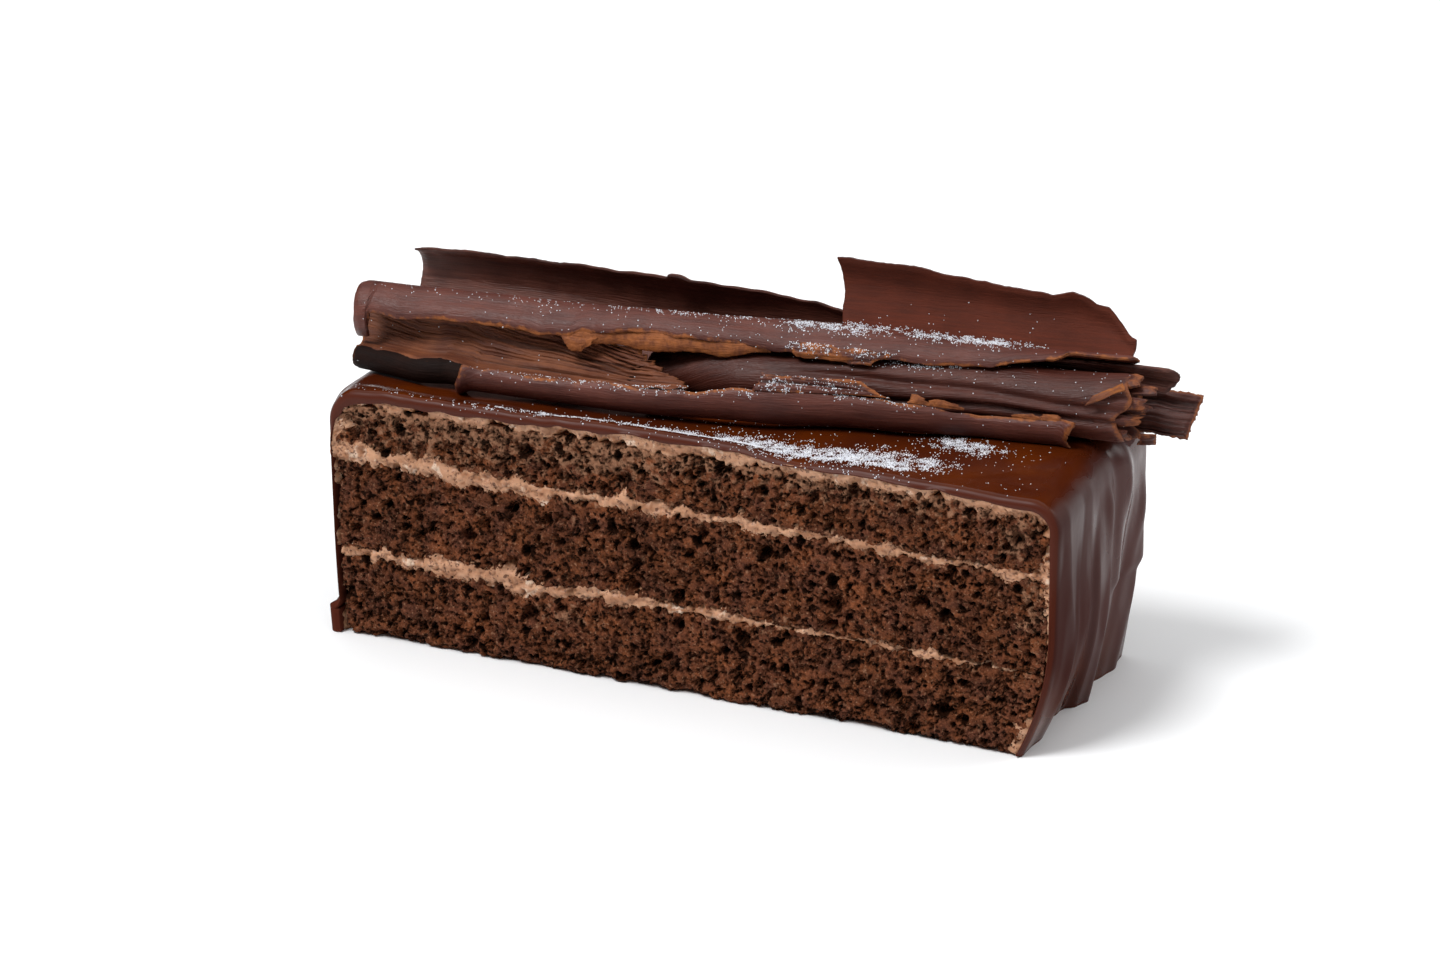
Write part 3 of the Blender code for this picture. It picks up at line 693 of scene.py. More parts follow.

# Set chocolate glaze: dark warm brown body under a smooth, slightly soft gloss, with faint ripples. On the
# ends it is drawn into upright streaks and duller low down and towards the front, and their colour holds
# painted
# reflection: darker and redder at the front, greyer and paler at the back.
glazed, tree, shader, here = new_material("chocolate_glaze_poured")
broad = mottle(tree, here, 9.0 * MM, 2.0, 0.35, 0.65)
tone = add(
    tree, "ShaderNodeMix", {"Factor": broad, "A": linear("#421808"), "B": linear("#522004")},
    data_type="RGBA"
)
apart = add(tree, "ShaderNodeSeparateXYZ", {0: here})
end = add(tree, "ShaderNodeMath", {0: apart.outputs["X"]}, operation="ABSOLUTE")
end = add(tree, "ShaderNodeMapRange", {0: end, 1: SPONGE_END * MM, 2: (SPONGE_END + 2.5) * MM})
# painted reflection on the ends: darker red-brown at the front, greyer and paler brown at the back, standing
# in for sheen
end_sheen_tone = add(tree, "ShaderNodeMapRange", {0: apart.outputs["Y"], 1: -10.0 * MM, 2: 8.0 * MM})
end_sheen_tone = add(
    tree, "ShaderNodeMix", {"Factor": end_sheen_tone, "A": linear("#3a1711"), "B": linear("#4b2a26")},
    data_type="RGBA"
)
tone = add(tree, "ShaderNodeMix", {"Factor": end, "A": tone, "B": end_sheen_tone}, data_type="RGBA")
cut_band = add(tree, "ShaderNodeAttribute", attribute_name="cut").outputs["Fac"]
tone = add(tree, "ShaderNodeMix", {"Factor": cut_band, "A": tone, "B": linear("#4b1e10")}, data_type="RGBA")
gloss = mottle(tree, here, 5.0 * MM, 3.0, 0.35, 0.7, 0.1, 0.18)
drawn = add(tree, "ShaderNodeMapping", {"Vector": here, "Scale": (1.0, 1.0, 0.35)})
drawn = mottle(tree, drawn, 5.0 * MM, 1.0, 0.42, 0.6, 0.52, 0.22)
height = add(
    tree, "ShaderNodeMapRange", {0: apart.outputs["Z"], 1: 16.0 * MM, 2: 34.0 * MM, 3: 0.14, 4: -0.14}
)
drawn = add(tree, "ShaderNodeMath", {0: drawn, 1: height}, operation="ADD")
front = add(
    tree, "ShaderNodeMapRange", {0: apart.outputs["Y"], 1: -12.0 * MM, 2: 6.0 * MM, 3: 0.34, 4: -0.04}
)
drawn = add(tree, "ShaderNodeMath", {0: drawn, 1: front}, operation="ADD")
gloss = add(tree, "ShaderNodeMix", {"Factor": end, "A": gloss, "B": drawn})
gloss = add(tree, "ShaderNodeMath", {0: cut_band, 1: 0.3, 2: gloss}, operation="MULTIPLY_ADD")
ripple = add(tree, "ShaderNodeTexNoise", {"Vector": here, "Scale": 1 / (3.0 * MM), "Detail": 2.0})
bump = add(tree, "ShaderNodeBump", {"Height": ripple, "Distance": 0.15 * MM, "Strength": 0.35})
feed(
    tree, shader,
    {"Base Color": tone, "Roughness": gloss, "Normal": bump, "IOR": 1.47, "Specular IOR Level": 0.17}
)


def glaze_rings():
    """Cross-sections from the left foot to the right one, each going once round the glaze's thickness."""
    lip = LIP * (1.0 - np.cos(np.linspace(0.0, np.pi / 2, 7)))
    depths = np.concatenate([
        -HALF_WIDTH - PROUD + lip[:-1], np.linspace(-HALF_WIDTH + LIP, HALF_WIDTH - LIP, OUTER_RINGS),
        HALF_WIDTH + PROUD - lip[::-1][1:],
    ])
    outer, inner = [], []
    for y in depths:
        near = np.clip(y, -HALF_WIDTH, HALF_WIDTH)
        x, z = glaze_outside(near, GLAZE_STEP)
        _, _, in_x, in_z = glaze_inside(near, GLAZE_STEP)
        round_off = np.clip(1.0 - (HALF_WIDTH + PROUD - abs(y)) / LIP, 0.0, 1.0)
        sink = LIP * (1.0 - np.sqrt(1.0 - round_off**2))
        sink = np.minimum(sink, 0.8 * glaze_thick(x, z))
        outer.append(
            np.stack([x + in_x * sink, np.full_like(x, y), np.maximum(z + in_z * sink, 0.0)], axis=1)
        )
    for y in np.linspace(-HALF_WIDTH, HALF_WIDTH, INNER_RINGS):
        x, z, _, _ = glaze_inside(y, GLAZE_STEP)
        inner.append(np.stack([x, np.full_like(x, y), z], axis=1))
    outer, inner = np.array(outer), np.array(inner)
    share = np.linspace(0.0, 1.0, 5)[1:-1, None, None]
    back_band = outer[-1] + (inner[-1] - outer[-1]) * share
    front_band = inner[0] + (outer[0] - inner[0]) * share
    return np.concatenate([outer, back_band, inner[::-1], front_band]), len(depths)


rings, outer_count = glaze_rings()
around, length = rings.shape[:2]
index = np.arange(around * length).reshape(around, length)
onwards = np.roll(index, -1, axis=0)
faces = np.stack([index[:, :-1], index[:, 1:], onwards[:, 1:], onwards[:, :-1]], axis=-1)
faces = faces.reshape(-1, 4).tolist()
faces += [index[::-1, 0].tolist(), index[:, -1].tolist()]
mesh = bpy.data.meshes.new("glaze_poured")
mesh.from_pydata(rings.reshape(-1, 3) * MM, [], faces)
mesh.shade_smooth()
in_band = np.ones(around)
in_band[BAND_RINGS : outer_count - BAND_RINGS] = 0.0
write_mark(mesh, "cut", np.repeat(in_band, length))
mesh.materials.append(glazed)
glaze = new_object("glaze_poured", mesh)
settle(glaze, "glaze", "glaze")


# ==== Chocolate curls ====
# Sheets of dark chocolate, spread thin on a slab, scraped up into rolls with a blade and heaped on the
# cake. The scraped side is smooth and waxy. Where a sheet has torn, its edge is rough and paler.

CURL_THICK = 0.8  # of a sheet, where it isn't given
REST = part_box("curl_back")[0].z / MM + CURL_THICK / 2 + 0.05  # middle line of a sheet lying on the glaze
CREST_RADIUS = 4.3  # of the tube on top and of the trough behind
BACK_RADIUS = 7.85
SIDE_SHIFT = 30.0  # keeps the streaks on a sheet's two sides apart
BITE_WIDTH = 20.0  # about how wide a sheet is, for the bites along its ends
GROOVE_STRETCH = 45.0  # how much longer than wide the grooves and the streaks are
STREAK_STRETCH = 14.0
ALL_TORN = (9.0, 9.0, 9.0, 9.0)  # a torn edge wide enough to cover a small sheet
NO_SIDE = (0.0, 0.0)  # which sides of a sheet, under and over, have its hollow material
UNDER_SIDE = (1.0, 0.0)
OVER_SIDE = (0.0, 1.0)
BOTH_SIDES = (1.0, 1.0)


def arc(centre, radius, start, end, v):
    """Points y, z at v of an arc, with angles in degrees from +Y towards +Z."""
    angle = np.radians(start + (end - start) * v)
    return centre[0] + radius * np.cos(angle), centre[1] + radius * np.sin(angle)


def tear(place, seed):
    """A torn edge: long bites, short bites and splinters."""
    bites = ragged(place, seed, 5.3, 0.55) + ragged(place, seed + 1, 1.7, 0.22)
    return bites + ragged(place, seed + 2, 0.6, 0.1)


def wander(x, seed, size):
    """A smooth irregular line, from three waves of unequal length."""
    return size * sum(
        share * np.sin(math.tau * x / length + seed * (3.1 + length))
        for length, share in ((23.0, 0.5), (9.7, 0.3), (4.3, 0.2))
    )


def rolled(left, right, section, grid, torn, seed, thick=CURL_THICK, bites=(1.0, 1.0, 1.0, 1.0), dent=None,
           groove=0.0, dust=None, hollow_side=OVER_SIDE):
    """A curled sheet. section(x, v) gives y, z of its middle line across.

    torn is the width of the rough pale edge at v = 0, at v = 1, at the left and at the right, and bites how
    deeply each of these edges is torn. groove is how deeply it is grooved. dent(x, v) moves the sheet along
    its outward direction, dust(x, v) is how much sugar lies on it, and hollow_side says which sides have
    the hollow material."""
    columns, rows = grid
    u, v = np.meshgrid(np.linspace(0, 1, columns), np.linspace(0, 1, rows), indexing="ij")
    start = left(v) + bites[2] * tear(v * BITE_WIDTH, seed + 11)
    end = right(v) + bites[3] * tear(v * BITE_WIDTH, seed + 21)
    x = start + (end - start) * u
    y, z = section(x, v)
    girth = np.sum(np.hypot(np.diff(y, axis=1), np.diff(z, axis=1)), axis=1)[:, None]
    girth = np.maximum(girth, 1.0)
    v = v + (1.0 - v) * bites[0] * tear(x, seed + 31) / girth - v * bites[1] * tear(x, seed + 41) / girth
    y, z = section(x, v)
    middle = np.stack([x, y, z], axis=2)
    normal = np.cross(np.gradient(middle, axis=0), np.gradient(middle, axis=1))
    normal /= np.maximum(np.linalg.norm(normal, axis=2, keepdims=True), 1e-9)
    if dent is not None:
        middle = middle + normal * dent(x, v)[..., None]
    steps = np.linalg.norm(np.diff(middle, axis=1), axis=2)
    across = np.concatenate([np.zeros((columns, 1)), np.cumsum(steps, axis=1)], axis=1)
    edges = (across, across[:, -1:] - across, x - start, end - x)
    nearest = np.min(edges, axis=0)
    patchy = 0.35 + 0.65 * ease(ragged(x + 3.0 * v, seed + 51, 3.0, 1.0), -0.5, 0.6)
    tornness = np.max([
        np.clip(1.2 - gap / reach, 0.0, 1.0) if reach else 0.0 * x for gap, reach in zip(edges, torn)
    ], axis=0)
    tornness = tornness * patchy if max(torn) < 3.0 else tornness
    half = normal * (thick / 2 * (0.35 + 0.65 * ease(nearest, 0.0, 0.9)))[..., None]
    return slab(
        middle - half, middle + half, torn=tornness, groove=groove * (1.0 - 0.9 * tornness), run=x,
        across=(across, across + SIDE_SHIFT), dust=dust(x, v) if dust else 0.0, hollow_side=hollow_side
    )


# The surface of a sheet: grooves along it, drawn by the blade, and rough broken grain at its torn edges.
scraped, given, in_mm = new_tree(
    "scraped sheet", ["Material", "Hollow material"],
    **{"Groove depth": 0.5, "Groove width": 1.0, "Grain depth": 0.25, "Ripple": 0.12}
)
run, across, amount, tornness, hollow_side = (
    add(scraped, "GeometryNodeInputNamedAttribute", {"Name": label}, data_type="FLOAT")
    for label in ("run", "across", "groove", "torn", "hollow_side")
)
run = add(scraped, "ShaderNodeMath", {0: run, 1: GROOVE_STRETCH}, operation="DIVIDE")
across = add(scraped, "ShaderNodeMath", {0: across, 1: given.outputs["Groove width"]}, operation="DIVIDE")
flow = add(scraped, "ShaderNodeCombineXYZ", {"X": run, "Y": across})
lines = add(scraped, "ShaderNodeTexNoise", {"Vector": flow, "Scale": 0.8, "Detail": 1.0})
sway = add(scraped, "ShaderNodeTexNoise", {"Vector": flow, "Scale": 0.5, "Detail": 1.0})
comb = add(scraped, "ShaderNodeMath", {0: across, 1: 8.5}, operation="MULTIPLY")
comb = add(scraped, "ShaderNodeMath", {0: sway, 1: 8.0, 2: comb}, operation="MULTIPLY_ADD")
comb = add(scraped, "ShaderNodeMath", {0: comb}, operation="SINE")
lines = add(scraped, "ShaderNodeMath", {0: comb, 1: 0.085, 2: lines}, operation="MULTIPLY_ADD")
lines = add(scraped, "ShaderNodeMapRange", {0: lines, 1: 0.36, 2: 0.56, 3: -1.0, 4: 0.2})
# line is 1 in the bottoms of the grooves; the chocolate materials darken the skin there as painted shade
line = add(scraped, "ShaderNodeMapRange", {0: lines, 1: -0.2, 2: -1.0, 3: 0.0, 4: 1.0})
line = add(scraped, "ShaderNodeMath", {0: line, 1: amount}, operation="MULTIPLY")
amount = add(scraped, "ShaderNodeMath", {0: amount, 1: given.outputs["Groove depth"]}, operation="MULTIPLY")
lift = add(scraped, "ShaderNodeMath", {0: lines, 1: amount}, operation="MULTIPLY")
grain = add(scraped, "ShaderNodeTexNoise", {"Vector": in_mm, "Scale": 1.7, "Detail": 2.0})
grain = add(scraped, "ShaderNodeMath", {0: grain, 1: 0.5}, operation="SUBTRACT")
amount = add(scraped, "ShaderNodeMath", {0: tornness, 1: given.outputs["Grain depth"]}, operation="MULTIPLY")
lift = add(scraped, "ShaderNodeMath", {0: grain, 1: amount, 2: lift}, operation="MULTIPLY_ADD")
stretched = add(scraped, "ShaderNodeVectorMath", {0: in_mm, 1: (0.35, 1.0, 1.0)}, operation="MULTIPLY")
ripple = add(scraped, "ShaderNodeTexNoise", {"Vector": stretched, "Scale": 0.35, "Detail": 2.0})
ripple = add(scraped, "ShaderNodeMath", {0: ripple, 1: 0.5}, operation="SUBTRACT")
lift = add(
    scraped, "ShaderNodeMath", {0: ripple, 1: given.outputs["Ripple"], 2: lift}, operation="MULTIPLY_ADD"
)
lift = add(scraped, "ShaderNodeMath", {0: lift, 1: MM}, operation="MULTIPLY")
outwards = add(scraped, "GeometryNodeInputNormal")
offset = add(scraped, "ShaderNodeVectorMath", {0: outwards, "Scale": lift}, operation="SCALE")
shape = add(scraped, "GeometryNodeSetPosition", {"Geometry": given.outputs["Geometry"], "Offset": offset})
shape = add(
    scraped, "GeometryNodeStoreNamedAttribute", {"Geometry": shape, "Name": "line", "Value": line},
    data_type="FLOAT"
)
hollow_side = add(scraped, "FunctionNodeCompare", {0: hollow_side, 1: 0.6}, operation="GREATER_THAN")
end_tree(scraped, given, shape, hollow_side)


def chocolate(name, skin_dark, skin_light, torn_dark, torn_light, roughness, reflection):
    """Dark chocolate, scraped into a sheet: a waxy skin with fine streaks along the scrape, and a rough,
    paler and warmer grain where it has torn."""
    made, tree, shader, here = new_material(name)
    run, across, line, tornness = (
        add(tree, "ShaderNodeAttribute", attribute_name=label).outputs["Fac"]
        for label in ("run", "across", "line", "torn")
    )
    run = add(tree, "ShaderNodeMath", {0: run, 1: STREAK_STRETCH}, operation="DIVIDE")
    flow = add(tree, "ShaderNodeCombineXYZ", {"X": run, "Y": across})
    streaks = mottle(tree, flow, 1 / 1.3, 5.0, 0.33, 0.68, roughness=0.65)
    blotches = mottle(tree, here, 6.0 * MM, 4.0, 0.3, 0.7, -0.35, 0.35)
    shade = add(
        tree, "ShaderNodeMath", {0: streaks, 1: 0.65, 2: blotches}, operation="MULTIPLY_ADD", use_clamp=True
    )
    skin = add(
        tree, "ShaderNodeMix", {"Factor": shade, "A": linear(skin_dark), "B": linear(skin_light)},
        data_type="RGBA"
    )
    # painted shade: the skin is darker in the bottoms of the grooves
    line = add(tree, "ShaderNodeMath", {0: line, 1: -0.5, 2: 1.0}, operation="MULTIPLY_ADD")
    skin = add(tree, "ShaderNodeVectorMath", {0: skin, "Scale": line}, operation="SCALE")
    breaks = add(
        tree, "ShaderNodeTexNoise",
        {"Vector": here, "Scale": 1 / (1.3 * MM), "Detail": 4.0, "Roughness": 0.65}
    )
    grain = add(tree, "ShaderNodeMapRange", {0: breaks, 1: 0.35, 2: 0.65})
    inside = add(
        tree, "ShaderNodeMix", {"Factor": grain, "A": linear(torn_dark), "B": linear(torn_light)},
        data_type="RGBA"
    )
    shift = add(tree, "ShaderNodeMath", {0: breaks, 1: 0.5}, operation="SUBTRACT")
    tornness = add(tree, "ShaderNodeMath", {0: shift, 1: 1.8, 2: tornness}, operation="MULTIPLY_ADD")
    tornness = add(tree, "ShaderNodeMapRange", {0: tornness, 1: 0.3, 2: 0.7})
    tone = add(tree, "ShaderNodeMix", {"Factor": tornness, "A": skin, "B": inside}, data_type="RGBA")
    rough = add(tree, "ShaderNodeMapRange", {0: streaks, 3: roughness, 4: roughness + 0.12})
    rough = add(
        tree, "ShaderNodeMath", {0: tornness, 1: 0.2, 2: rough}, operation="MULTIPLY_ADD", use_clamp=True
    )
    fine = add(tree, "ShaderNodeTexNoise", {"Vector": flow, "Scale": 4.0, "Detail": 4.0, "Roughness": 0.6})
    bump = add(tree, "ShaderNodeBump", {"Height": fine, "Distance": 0.2 * MM, "Strength": 0.8})
    feed(tree, shader, {
        "Base Color": tone, "Roughness": rough, "Normal": bump, "IOR": 1.5, "Specular IOR Level": reflection
    })
    return made


# The outer skin has the satin sheen of wax and cooled cocoa butter. The side that faced the slab is matt and
# redder, and a sheet that split along the scrape is brown with a fibrous grain. Three copies carry painted
# light and shade: the trough's is lighter for painted light, the rolled one darker for painted shade, and the
# underside one near black for painted shade under the lip.
skin_chocolate = chocolate("dark_chocolate_scraped", "#4c231b", "#6a372b", "#6b3617", "#9a5829", 0.38, 0.36)
matt_chocolate = chocolate("dark_chocolate_slab_side", "#4e2419", "#622e20", "#4a2417", "#6c3c25", 0.62, 0.12)
# painted light: a lighter copy of the skin for the trough's wall, standing in for light falling into it
lit_trough_chocolate = chocolate("dark_chocolate_trough_painted_light", "#50291f", "#774538", "#351914", "#56322a", 0.42, 0.35)
torn_chocolate = chocolate("dark_chocolate_split", "#5a3020", "#8a5234", "#683a1f", "#985a2c", 0.48, 0.24)
# painted shade: a darker copy of the skin for the middle roll, which lies in shade under the crest; the
# broken pieces at the right end wear it too
shaded_roll_chocolate = chocolate("dark_chocolate_rolled_painted_shade", "#401b13", "#5d3025", "#5e2f18", "#8a4e2a", 0.38, 0.33)
# painted shade: a near-black copy for the rolled-up underside, which lies in shade under the grooved sheet's
# lip
underside_shade_chocolate = chocolate("dark_chocolate_underside_painted_shade", "#160906", "#24110b", "#2e160d", "#52301c", 0.6, 0.1)


def curl(name, material, hollow_material, slot, shells, **sizes):
    """One curl from its sheets. The hollow material is the one on their marked sides."""
    piece = make_piece(name + "_scraped", *shells)
    run_tree(piece, scraped, **{"Material": material, "Hollow material": hollow_material}, **sizes)
    settle(piece, slot, name)


def crest_line(x):
    y = along(x, (-61, -6.5), (-27, -4.2), (-5, -1.3), (15, 2.2), (45, 6.8), (62, 9.2))
    return y, along(x, (-61, 50.3), (15, 50.6), (45, 49.6), (62, 49.5))


def back_line(x):
    return along(x, (-58, 1.2), (15, 8.0), (56, 11.0)), REST + BACK_RADIUS


def front_radius(x):
    return along(x, (-37, 2.7), (-20, 2.8), (8, 3.6), (26, 3.5), (43, 2.8), (55, 2.7))


def front_line(x):
    y = along(
        x, (-60, -8.4), (-43, -11.2), (-37, -12.2), (-13, -11.4), (8, -7.6), (26, -2.6), (43, 1.8), (55, 3.0)
    )
    return y, REST + front_radius(x) - 0.8 * ease(x, 20.0, 48.0)


def middle_radius(x):
    return along(x, (-13, 2.8), (3, 4.1), (20, 4.3), (50, 4.9), (63, 5.4))


def middle_line(x):
    y = along(x, (-13, -1.0), (3, -2.0), (26, 1.8), (43, 5.2), (63, 6.6))
    return y, REST + middle_radius(x) - 0.9 * ease(x, 36.0, 58.0)


# The big trough behind: it lies on the glaze, stands up at the back and leans over at its torn lip.
def back_section(x, v):
    lip = along(x, (-58, 66), (-26, 58), (-5, 50), (6, 36), (15, 24), (56, -8)) + wander(x, 7.0, 4.0)
    height = BACK_RADIUS * (1.0 + np.sin(np.radians(lip)))
    height = height + 1.1 * np.exp(-(((x + 13.6) / 1.4) ** 4)) + 0.4 * np.exp(-(((x + 29.0) / 4.0) ** 4))
    upright = along(x, (-40, 9.4), (-8, BACK_RADIUS))  # height at which the wall stands upright
    over = along(x, (-58.4, 6.8), (-55.0, 8.4), (-40, 8.6), (-8, BACK_RADIUS))
    slant = along(x, (-40, 1.5), (-8, 1.0))  # 1 is round, more is straighter below the upright part
    past = height - upright
    lip = np.degrees(np.arcsin(np.clip(past / np.where(past > 0.0, over, upright), -0.96, 0.96)))
    start = along(x, (40, -100), (52, -84))
    turn = np.radians(start + (lip - start) * v)
    slant = np.where(turn > 0.0, 1.0, slant)
    aside = np.sign(np.cos(turn)) * np.abs(np.cos(turn)) ** slant
    upwards = np.sign(turn) * np.abs(np.sin(turn)) ** slant
    y = back_line(x)[0] + (BACK_RADIUS + 0.25 * np.sin(v * 9.0 + x / 9.0) * v * (1.0 - v)) * aside
    return y - 0.6 * ease(v, 0.93, 1.0), REST + upright + np.where(turn > 0.0, over, upright) * upwards


back = rolled(
    lambda v: -58.4 + 0.5 * ease(v, 0.6, 0.9), lambda v: 55.0 + v, back_section, (280, 76),
    (0.4, 0.3, 0.2, 0.6), 100, bites=(0.3, 0.8, 0.25, 0.8)
)
curl("curl_back", lit_trough_chocolate, lit_trough_chocolate, "chocolate", [back])


# The long tube on top, with the flap that stands up at its back, hollow side to the front.
def crest_section(x, v):
    front = along(
        x, (-60.0, 240), (-58.4, 236), (-57.6, 168), (-50, 168), (-40, 160), (-30, 170), (-25, 170),
        (-21.5, 157), (-12, 151), (-5, 149), (3, 151), (9, 168), (16, 166), (24, 158), (31, 156), (40, 146),
        (50, 122), (51.0, 114), (51.8, 94), (61, 88)
    )
    back = along(x, (-16, -35), (-10, -20), (5, -30))
    flat = 1.0 - 0.05 * np.exp(-(((v - 0.22) / 0.09) ** 2)) * (1.0 + np.sin(x / 8.0))
    return arc(crest_line(x), CREST_RADIUS * flat, front, back, v)


def crest_dust(x, v):
    fold = np.exp(-(((v - along(x, (-60, 0.34), (14, 0.36), (60, 0.3))) / 0.1) ** 2))
    fold = fold * along(
        x, (-45, 0.1), (-25, 0.35), (-5, 0.5), (8, 0.8), (20, 0.9), (42, 0.9), (50, 0.3), (58, 0.0)
    )
    brow = np.exp(-(((v - 0.05) / 0.06) ** 2))
    brow = brow * along(x, (-30, 0.05), (-8, 0.1), (6, 0.3), (14, 0.8), (24, 0.6), (30, 0.1))
    return fold * (0.85 + wander(x, 4.0, 0.45)) + brow + 0.03 * ease(x, -40.0, 0.0)


def flap_section(x, v):
    y, z = crest_line(x)
    bend = along(x, (14, 6.9), (50, 5.7))
    places = (12.0, 24.0, 32.0, 40.0, 45.0, 47.4, 50.8, 52.0, 54.1, 56.0, 59.3, 61.5)
    lean = np.interp(x, places, (26.0, 33.0, 31.0, 24.0, 25.0, 27.0, 36.0, 27.0, 9.0, 5.0, -38.0, -60.0))
    hook = 1.0 - 0.17 * ease(v, 0.55, 1.0)
    return arc((y + 0.4, z + CREST_RADIUS - 0.1 + bend), bend * hook, -84.0, lean, v)


def flap_dust(x, v):
    return 0.9 * np.exp(-((v / 0.1) ** 2)) * ease(x, 14.0, 20.0) * (1.0 - ease(x, 42.0, 50.0)) + 0.03


def torn_under_section(x, v):
    low = along(x, (-27, 168), (-20, 176), (-13, 186), (-6, 183), (1, 182), (8, 172)) + wander(x, 2.0, 2.5)
    return arc(crest_line(x), CREST_RADIUS - 0.4 + 0.25 * np.sin(x / 2.0), 120.0, low, v)


def torn_over_section(x, v):
    return arc(
        crest_line(x), CREST_RADIUS + 0.45 + 0.2 * np.sin(x / 1.7), 146.0, 171.0 + wander(x, 5.0, 3.0), v
    )


def hanging_section(x, v):
    return arc(crest_line(x), CREST_RADIUS + 0.6 * v, 166.0, 198.0, v)


crest = rolled(
    lambda v: -60.6 + 0.3 * np.sin(9.0 * v), lambda v: 61.0 + 1.2 * np.sin(7.0 * v), crest_section, (330, 66),
    (0.7, 0.3, 0.25, 0.8), 200, bites=(0.8, 0.3, 0.35, 1.2), dust=crest_dust, hollow_side=UNDER_SIDE
)
flap = rolled(
    lambda v: 17.0 - 2.8 * v**0.7, lambda v: 60.8, flap_section, (180, 48),
    (0.0, 0.0, 0.0, 0.0), 300, bites=(0.0, 0.9, 0.35, 0.0), thick=0.7, dust=flap_dust
)
torn_under = rolled(
    lambda v: -27.0 + 2.0 * v, lambda v: 9.5 - 2.0 * v, torn_under_section, (120, 20),
    ALL_TORN, 320, bites=(0.0, 0.6, 0.5, 0.5), thick=0.6, hollow_side=NO_SIDE
)
torn_over = rolled(
    lambda v: 10.5 + 1.5 * v, lambda v: 26.5 - 3.0 * v, torn_over_section, (70, 14),
    (1.6, 1.6, 0.8, 1.4), 340, bites=(0.5, 0.5, 0.5, 0.8), thick=0.5, groove=0.8,
    dust=lambda x, v: 0.6 - 0.4 * ease(v, 0.3, 0.9), hollow_side=NO_SIDE
)
hanging = rolled(
    lambda v: -25.5 + 2.6 * v, lambda v: -19.5 - 2.0 * v, hanging_section, (40, 20),
    ALL_TORN, 360, bites=(0.2, 1.1, 0.7, 0.7), thick=0.5, hollow_side=NO_SIDE
)
curl("curl_crest", skin_chocolate, matt_chocolate, "chocolate", [crest, flap, torn_under, torn_over, hanging])


# A sheet that rolls up inside the front roll to a lip, then hollows back and up under the crest. It has
# split along its scrape, so its hollow side is deeply grooved.
GROOVED_TURN = 0.36  # share of the sheet's width that is rolled up
GROOVED_START = 262.0  # angles where the rolled part starts and where it turns over into the hollow
GROOVED_LIP = 100.0


def grooved_lip(x):
    """Radius of the rolled underside, which sets how high the lip lies."""
    low = along(x, (-60, 1.65), (-44, 1.9), (-39, 0.0)) + (front_radius(x) - 1.25) * ease(x, -44.0, -39.0)
    return np.where(x > -39.0, front_radius(x) - 1.25, np.maximum(low, 1.3))


def grooved_section(x, v):
    y = front_line(x)[0]
    low = grooved_lip(x)
    free = 1.0 - ease(x, -48.0, -42.0)
    wall = (y - 1.3 * free, REST - 0.25 * free + low)
    high = along(x, (-60, 4.2), (-30, 4.6), (-13, 5.0))
    lip = arc(wall, low, GROOVED_LIP, GROOVED_LIP, 1.0)
    hollow = arc(lip, high, 75.0, 75.0, 1.0)
    under = arc(wall, low, GROOVED_START, GROOVED_LIP, v / GROOVED_TURN)
    reach = (v - GROOVED_TURN) / (1.0 - GROOVED_TURN)
    over = arc(hollow, high, -105.0, along(x, (-58, 24), (-30, 18), (-14, -4)), reach)
    return np.where(v < GROOVED_TURN, under[0], over[0]), np.where(v < GROOVED_TURN, under[1], over[1])


def grooved_right(v):
    stairs = np.floor(v * 14.0) / 14.0
    return -3.4 - 9.5 * ease(stairs, 0.35, 1.0)


def grooved_dust(x, v):
    return 0.5 * np.exp(-(((v - 0.38) / 0.05) ** 2)) * ease(x, -45.0, -20.0) + 0.02


grooved = rolled(
    lambda v: -60.3 - 1.5 * ease(v, 0.45, 0.75), grooved_right, grooved_section, (190, 170),
    (0.3, 0.5, 0.4, 0.7), 400, bites=(0.2, 0.4, 0.35, 0.3), groove=1.0, dust=grooved_dust,
    hollow_side=NO_SIDE
)
marks = grooved["marks"]
rolled_up = marks["across"] % SIDE_SHIFT
lip_reach = np.radians(GROOVED_START - GROOVED_LIP) * grooved_lip(marks["run"])
marks["groove"] *= ease(rolled_up, lip_reach + 0.8, lip_reach + 3.0)
marks["groove"] *= 0.3 + 0.7 * ease(marks["run"], -44.0, -26.0)
# the rolled-up underside below the lip takes the near-black painted-shade material
marks["hollow_side"] = 1.0 * (rolled_up + 0.3 * ragged(marks["run"], 9, 1.3, 1.0) < lip_reach - 0.3)
curl("curl_grooved", torn_chocolate, underside_shade_chocolate, "torn_chocolate", [grooved])


# The low convex roll in front, with a torn tab that stands up from its edge.
def front_section(x, v):
    tab = 24.0 * ease(x, 8.0, 10.0) * (1.0 - ease(x, 12.0, 28.0))
    return arc(front_line(x), front_radius(x), 262.0, 152.0 + wander(x, 3.0, 5.0) - tab, v)


def front_dust(x, v):
    return 0.03 + ease(v, 0.8, 0.95) * along(
        x, (-38, 0.1), (-20, 0.4), (5, 0.4), (8, 0.5), (26, 0.6), (34, 0.2), (50, 0.0)
    )


def front_dent(x, v):
    """Both ends of the front roll flare a little."""
    return 1.1 * np.exp(-(((x + 40.6 - 2.2 * v) / 1.3) ** 2)) + 0.7 * np.exp(-(((x - 54.7) / 1.1) ** 2))


def flake_section(x, v):
    return arc(front_line(x), front_radius(x) + 0.1 + 0.2 * v, 150.0, 137.0 + wander(x, 1.3, 8.0), v)


def tab_section(x, v):
    y, z = front_line(x)
    return arc((y, z + 0.3), front_radius(x) + 0.2, 150.0, 104.0 + 10.0 * ease(x, 9.0, 26.0), v)


